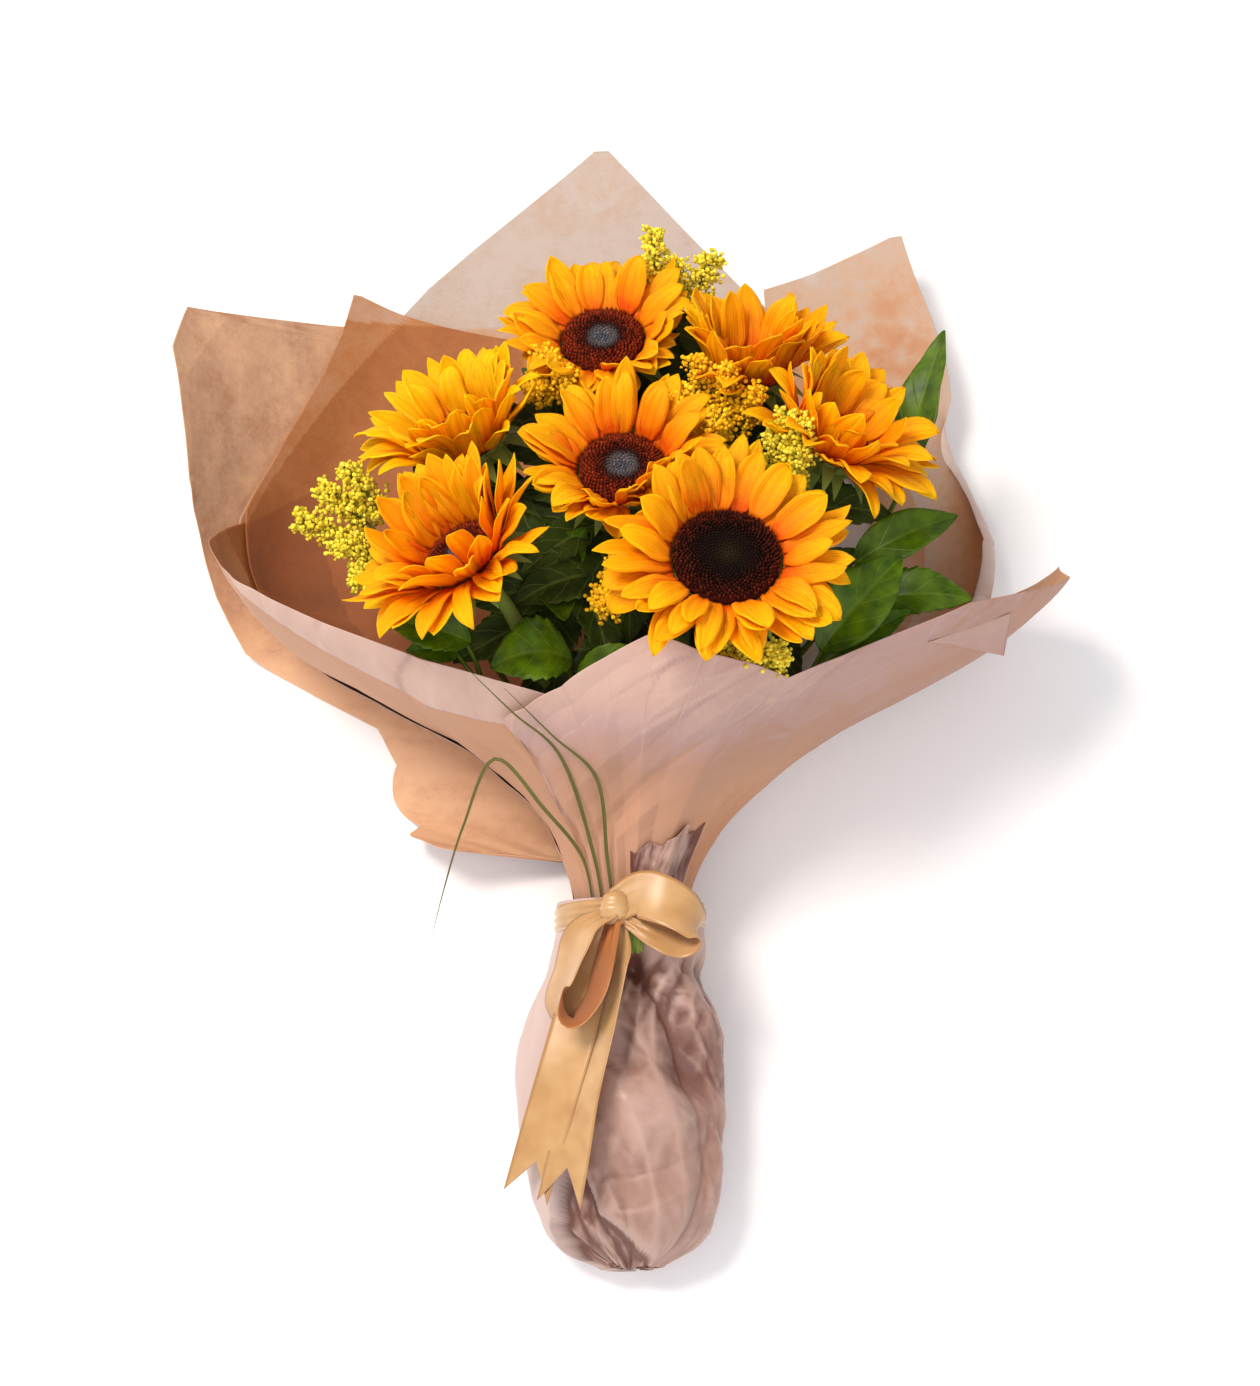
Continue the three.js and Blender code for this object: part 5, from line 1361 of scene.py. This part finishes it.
# The dark brown that the painted shade mixes in.
bag_with_painted_shade = add(BAG_PAPER, "MixRGB", {
    "Fac": worn, "Color1": bag_brown.outputs["Color"], "Color2": linear("#5E3225")})
bag_colour = add(BAG_PAPER, "MixRGB", {
    "Fac": pale, "Color1": bag_with_painted_shade.outputs["Color"], "Color2": linear("#C2A9A0")})
bag_fibres = add(BAG_PAPER, "TexNoise", {"Vector": here, "Scale": size(1.2), "Detail": 2.0})
bag_bump = add(BAG_PAPER, "Bump", {
    "Height": bag_fibres.outputs["Fac"], "Strength": 0.2, "Distance": 0.15 * MM})
bag_shader = add(BAG_PAPER, "BsdfPrincipled", {
    "Base Color": bag_colour.outputs["Color"], "Roughness": 0.42, "IOR": 1.5,
    "Normal": bag_bump.outputs["Normal"]})
add(BAG_PAPER, "OutputMaterial", {"Surface": bag_shader.outputs["BSDF"]})
bag_parts = join_parts(bag_body(), collar())
make_piece("stem_bag_crumpled", bag_parts, [BAG_PAPER], ["stem_bag"], BAG_THICKNESS)

# %% [markdown]
# ## Stems in the slit
# Just below the knot the bag gapes, and a few thin green stems show. They bend a little, so each
# is a tube along a curve that rises 0.8 mm between its ends.

# %% Stems below the knot
SLIT_STEM_RADIUS, SLIT_STEM_ROWS = 1.3, 14
SLIT_STEMS = [([-4, -3, 83], [-1, -27, 77]), ([-1, -3, 84], [0.5, -29, 77.5]),
              ([2, -3, 84], [2, -28, 77.5]), ([5, -3, 84], [3.5, -29, 77.5]),
              ([8.5, -3, 83.5], [5, -28, 77]), ([0.5, -4, 82], [2.8, -25, 76])]


def slit_stem(start, end):
    """A tube of one radius along start, half-way + (0.3, 0, 0.8), end."""
    half_way = np.add(start, end) / 2 + [0.3, 0, 0.8]
    path = curve([start, half_way, end], SLIT_STEM_ROWS)
    return *tube(path, SLIT_STEM_RADIUS, 8), {"leafy": 0.0}


shown_stems = join_parts(*(slit_stem(start, end) for start, end in SLIT_STEMS))
make_piece("stems_in_the_slit_hairy", shown_stems, [STEM_SKIN])

# %% [markdown]
# ## The satin bow
# One satin ribbon, 25 mm wide, is wound round the neck, knotted in front and left with two loops
# and two tails with swallowtail ends. Satin floats its threads on one side, so it shines along
# its length. A ribbon is a strip: a direction across is carried along a curve, and the strip bows
# a little between its edges.

# %% Ribbon strips
RIBBON_WIDTH, RIBBON_COLUMNS = 25, 13
KNOT = np.array([-7.0, -9.0, 86.0])
SWALLOWTAIL = 18  # the depth of the V, half cut away and half added at its points
BOWED = 0.8  # how far the middle of the ribbon stands out between its edges


def strip(points, across, count, notch=0.0, ends=(1.0, 1.0), inside=0.0):
    """path + s half-width side + BOWED (1 - s^2) normal. The width narrows to its ends shares and
    puckers there, and notch cuts a V of so many mm into the last rows."""
    path = curve(points, count, even=False)
    side = curve(unit(np.asarray(across, float)), count, even=False)
    forward = unit(np.gradient(path, axis=0))
    side = unit(side - np.sum(side * forward, -1, keepdims=True) * forward)
    normal = np.cross(side, forward)
    t, s = np.linspace(0, 1, count), np.linspace(-1, 1, RIBBON_COLUMNS)
    share = ends[0] + (1 - ends[0]) * ease(t, 0, 0.22)
    share = share * (ends[1] + (1 - ends[1]) * (1 - ease(t, 0.78, 1)))
    half = RIBBON_WIDTH / 2 * share
    puckers = (1 - share)[:, None] * 1.6 * np.cos(3.5 * np.pi * s)
    grid = (path[:, None] + (half[:, None] * s)[..., None] * side[:, None]
            + (BOWED * (1 - s ** 2) * share[:, None] + puckers)[..., None] * normal[:, None])
    reach = notch * ease(t, 0.86, 1)[:, None] * (np.abs(s) - 0.5)
    grid = grid + reach[..., None] * forward[:, None]
    values = {"across": np.broadcast_to(s, grid.shape[:-1]), "inside": inside}
    return grid, grid_faces(count, RIBBON_COLUMNS), values


def bag_top(x, y):
    """Height of the bag's upper side over a point of the table, without its creases."""
    place = y + 8 * ease(y, -62, -12)
    angle = np.arccos(np.clip(x / np.interp(place, BAG[:, 0], BAG[:, 1]), -1, 1))
    return bag_surface(place, angle, 0.0)[..., 2]


def over(x, y, lift):
    """The point at (x, y) that is lift mm over the bag."""
    return np.array([x, y, bag_top(x, y) + lift])


def slope(x, y):
    """The way across a ribbon that lies flat on the bag at (x, y)."""
    return np.array([24, 0, bag_top(x + 12, y) - bag_top(x - 12, y)])


def neck_band():
    """One turn gathered to 13 mm: radius BAG_COLLAR + 1.5 mm, with soft pleats of 0.7 mm across."""
    turn = whole_turn(120)[None]
    s = np.linspace(-1, 1, RIBBON_COLUMNS)[:, None]
    radius = BAG_COLLAR + 1.5 + 0.7 * np.cos(3.4 * np.pi * s + 0.5 * np.sin(2 * turn))
    along = 6.5 * s + 1.1 * np.sin(turn + 0.6)
    points = TIE + radius[..., None] * turned(turn, X_AXIS, FRONT) + along[..., None] * AXIS
    return points, grid_faces(RIBBON_COLUMNS, 120, closed=True), {"across": 0.5}


def knot():
    """A short band round the middle: an oval with half-axes of 7.5 and 5.5 mm, 16 mm long, that
    narrows to its ends and is puckered by 0.07 of its size."""
    turn = whole_turn(60)[None]
    s = np.linspace(-1, 1, 15)[:, None]
    swell = 1 - 0.45 * s ** 2 + 0.07 * np.cos(5 * np.pi * s + 2 * np.sin(turn))
    ring = turned(turn, 7.5 * X_AXIS, 5.5 * FRONT)
    points = KNOT + swell[..., None] * ring + 8 * s[..., None] * AXIS
    return points, grid_faces(15, 60, closed=True), {"across": 0.5}


# For each loop and tail: the points that its middle line passes, and the way across it at each. The
# right loop stands out from the knot, and the other three lie over the bag.
RIGHT_LOOP = KNOT + np.array([[0, 1, 1], [10, 5, 6], [22, 1, 10], [34, -6, 9], [40, -13, 4], [34, -17, 1],
                              [21, -13, 1], [6, -4, 1]])
RIGHT_LOOP_ACROSS = [[0.2, 0.9, 0.3], [0.22, 0.9, 0.15], [0.22, 0.88, 0], [0.2, 0.85, -0.2],
                     [0.15, 0.8, -0.4], [0.1, 0.8, -0.45], [0.1, 0.85, -0.35], [0, 0.9, 0.2]]
LEFT_LOOP = [KNOT + [-1, -1, 0], over(-23, -19, 15), over(-31, -38, 15), over(-35, -53, 15),
             over(-27, -65, 15), over(-18, -55, 14), over(-13, -36, 12), KNOT + [-1, -3, -1]]
LEFT_LOOP_ACROSS = [[0.2, -0.7, 0.7], [0.62, -0.42, 0.66], [0.45, -0.4, 0.8], [0.4, -0.4, 0.82],
                    [0.3, -0.45, 0.82], [0.35, -0.4, 0.82], [0.45, -0.35, 0.8], [0.7, -0.2, 0.6]]
LEFT_TAIL = [KNOT + [-2, -3, -2], over(-20, -37, 7), over(-28, -70, 7), over(-38, -104, 9),
             [-47.5, -135, 55]]
LEFT_TAIL_ACROSS = [[1, 0, 0], slope(-20, -37), slope(-28, -70), [1, -0.1, 0.45], [1, -0.1, 0.5]]
RIGHT_TAIL = [KNOT + [0, -3, -2], over(-10, -38, 7), over(-15.5, -70, 8.5), over(-24, -104, 10),
              over(-32, -141, 13)]
RIGHT_TAIL_ACROSS = [[1, 0, 0], [0.7, 0, 0.7], [0.66, 0, 0.75], [0.72, 0, 0.7], [0.86, -0.1, 0.5]]


def bow():
    """The band, the knot, two loops and two tails. inside is how much painted shade and glow a loop's
    inner side gets."""
    return join_parts(
        neck_band(), knot(),
        strip(RIGHT_LOOP, RIGHT_LOOP_ACROSS, 100, ends=(0.7, 0.45), inside=0.15),
        strip(LEFT_LOOP, LEFT_LOOP_ACROSS, 100, ends=(0.6, 0.5), inside=0.9),
        strip(LEFT_TAIL, LEFT_TAIL_ACROSS, 80, notch=SWALLOWTAIL, ends=(0.45, 1)),
        strip(RIGHT_TAIL, RIGHT_TAIL_ACROSS, 80, notch=SWALLOWTAIL, ends=(0.45, 1)))


# %% [markdown]
# ## Satin
# Satin is woven so that long threads lie side by side on its face, which gives it a soft, broad
# shine along them. Real threads lie 0.4 mm apart, and here they are drawn 0.8 mm apart, so that
# they show. A turn of 230 mm round the neck, loops of 140 and 110 mm, tails of 130 and 125 mm and
# 60 mm in the knot take about 0.8 m of ribbon.

# %% Satin material and the bow
RIBBON_THICKNESS, THREAD_STEP = 0.3, 0.8


def satin(name, painted_shade_share):
    """Clouds of 18 mm pick the colour, a band along each selvedge is darker, and the threads break the
    gloss. Where inside is 1, its share of deep orange is painted in: painted shade inside a loop and
    painted glow of the light that comes through it."""
    material = new_material(name)
    across = add(material, "Attribute", attribute_name="across").outputs["Fac"]
    here = add(material, "TexCoord").outputs["Object"]
    clouds = add(material, "TexNoise", {"Vector": here, "Scale": size(18), "Detail": 2.0})
    plain = add(material, "ValToRGB", {"Fac": clouds.outputs["Fac"]}, stops=[
        (0.3, "#AE814E"), (0.7, "#C49C6A")])
    inside = add(material, "Attribute", attribute_name="inside").outputs["Fac"]
    glow = add(material, "Math", {0: inside, 1: painted_shade_share}, operation="MULTIPLY")
    colour = add(material, "MixRGB", {"Fac": glow.outputs[0], "Color1": plain.outputs["Color"],
                                      "Color2": linear("#A8602A")})
    edges = add(material, "Math", {0: across}, operation="ABSOLUTE")
    selvedge = add(material, "MapRange", {"Value": edges.outputs[0], "From Min": 0.86, "From Max": 0.92,
                                          "To Min": 0.0, "To Max": 0.45})
    face = add(material, "MixRGB", {"Fac": selvedge.outputs[0], "Color1": colour.outputs["Color"],
                                    "Color2": linear("#9C672C")})
    threads = add(material, "Math", {0: across, 1: math.pi * RIBBON_WIDTH / THREAD_STEP},
                  operation="MULTIPLY")
    wave = add(material, "Math", {0: threads.outputs[0]}, operation="SINE")
    bump = add(material, "Bump", {"Height": wave.outputs[0], "Strength": 0.12, "Distance": 0.1 * MM})
    shader = add(material, "BsdfPrincipled", {
        "Base Color": face.outputs["Color"], "Roughness": 0.3, "IOR": 1.5, "Sheen Weight": 0.15,
        "Anisotropic": 0.5, "Normal": bump.outputs["Normal"]})
    add(material, "OutputMaterial", {"Surface": shader.outputs["BSDF"]})
    return material


SATIN = satin("champagne_satin_ribbon", 0.0)
# A second copy of the satin, with painted shade and glow for the loops' inner sides.
SATIN_PAINTED_SHADE = satin("champagne_satin_ribbon_painted_shade", 1.0)
ribbon = make_piece("satin_bow", bow(), [SATIN_PAINTED_SHADE, SATIN], ["satin_ribbon"], RIBBON_THICKNESS)

# %% [markdown]
# ## Floor and light
# The bunch lies on a plain pale floor, which is matt, so it shows soft shadows and no reflection.
# A large soft light stands high on the left, as a window would, a weaker one fills the shade from
# the front, and a pale sky lifts the rest.

# %% Studio
FLOOR_SIZE = 6
floor_mesh = bpy.data.meshes.new("pale_floor")
far = FLOOR_SIZE / 2
floor_mesh.from_pydata([(-far, -far, 0), (far, -far, 0), (far, far, 0), (-far, far, 0)], [], [(0, 1, 2, 3)])
floor = bpy.data.objects.new("pale_floor", floor_mesh)
bpy.context.scene.collection.objects.link(floor)
FLOOR_PAINT = new_material("matt_white_floor")
floor_shader = add(FLOOR_PAINT, "BsdfPrincipled", {"Base Color": linear("#FBFAF9"), "Roughness": 0.9})
add(FLOOR_PAINT, "OutputMaterial", {"Surface": floor_shader.outputs["BSDF"]})
floor_mesh.materials.append(FLOOR_PAINT)


def area_light(name, place, target, width, watts, colour):
    """A square soft light at place, turned towards target, both in metres."""
    lamp = bpy.data.lights.new(name, "AREA")
    lamp.size = width
    lamp.energy = watts
    lamp.color = linear(colour)[:3]
    made = bpy.data.objects.new(name, lamp)
    bpy.context.scene.collection.objects.link(made)
    made.location = place
    way = Vector(target) - made.location
    made.rotation_euler = way.to_track_quat("-Z", "Y").to_euler()


MIDDLE_OF_BUNCH = (0, 0, 0.1)
SKY_STRENGTH = 0.68
area_light("window", (-0.75, 0.3, 1.7), MIDDLE_OF_BUNCH, width=0.7, watts=30, colour="#FFF6EC")
area_light("fill", (0.15, -1.3, 1.4), MIDDLE_OF_BUNCH, width=1.6, watts=14, colour="#F8F6FF")
world = bpy.data.worlds.new("pale_sky")
world.use_nodes = True
world.node_tree.nodes["Background"].inputs["Color"].default_value = linear("#F6F7F9")
world.node_tree.nodes["Background"].inputs["Strength"].default_value = SKY_STRENGTH
bpy.context.scene.world = world
bpy.context.scene.view_settings.view_transform = "Standard"

# %% [markdown]
# ## Camera
# The camera looks down at 65 degrees from 1.5 m away. The photograph is 1386 pixels high. At half
# a millimetre for each pixel, that is 693 mm at the bunch.

# %% Camera
ELEVATION = math.radians(65)
DISTANCE = 1500
LONG_SIDE = 693
SENSOR = 36
target = np.array([0, 104.5, 90.0])
backwards = np.array([0, -math.cos(ELEVATION), math.sin(ELEVATION)])
camera_data = bpy.data.cameras.new("camera")
camera_data.sensor_width = SENSOR
camera_data.lens = SENSOR * DISTANCE / LONG_SIDE
camera = bpy.data.objects.new("camera", camera_data)
camera.location = (target + DISTANCE * backwards + FOOT) * MM
camera.rotation_euler = (math.pi / 2 - ELEVATION, 0, 0)
bpy.context.scene.collection.objects.link(camera)
bpy.context.scene.camera = camera
print("camera at", np.round(camera.location, 3))

# %% [markdown]
# ## Finish
# The last step brings the scene up to date.

# %% Finish
bpy.context.view_layer.update()
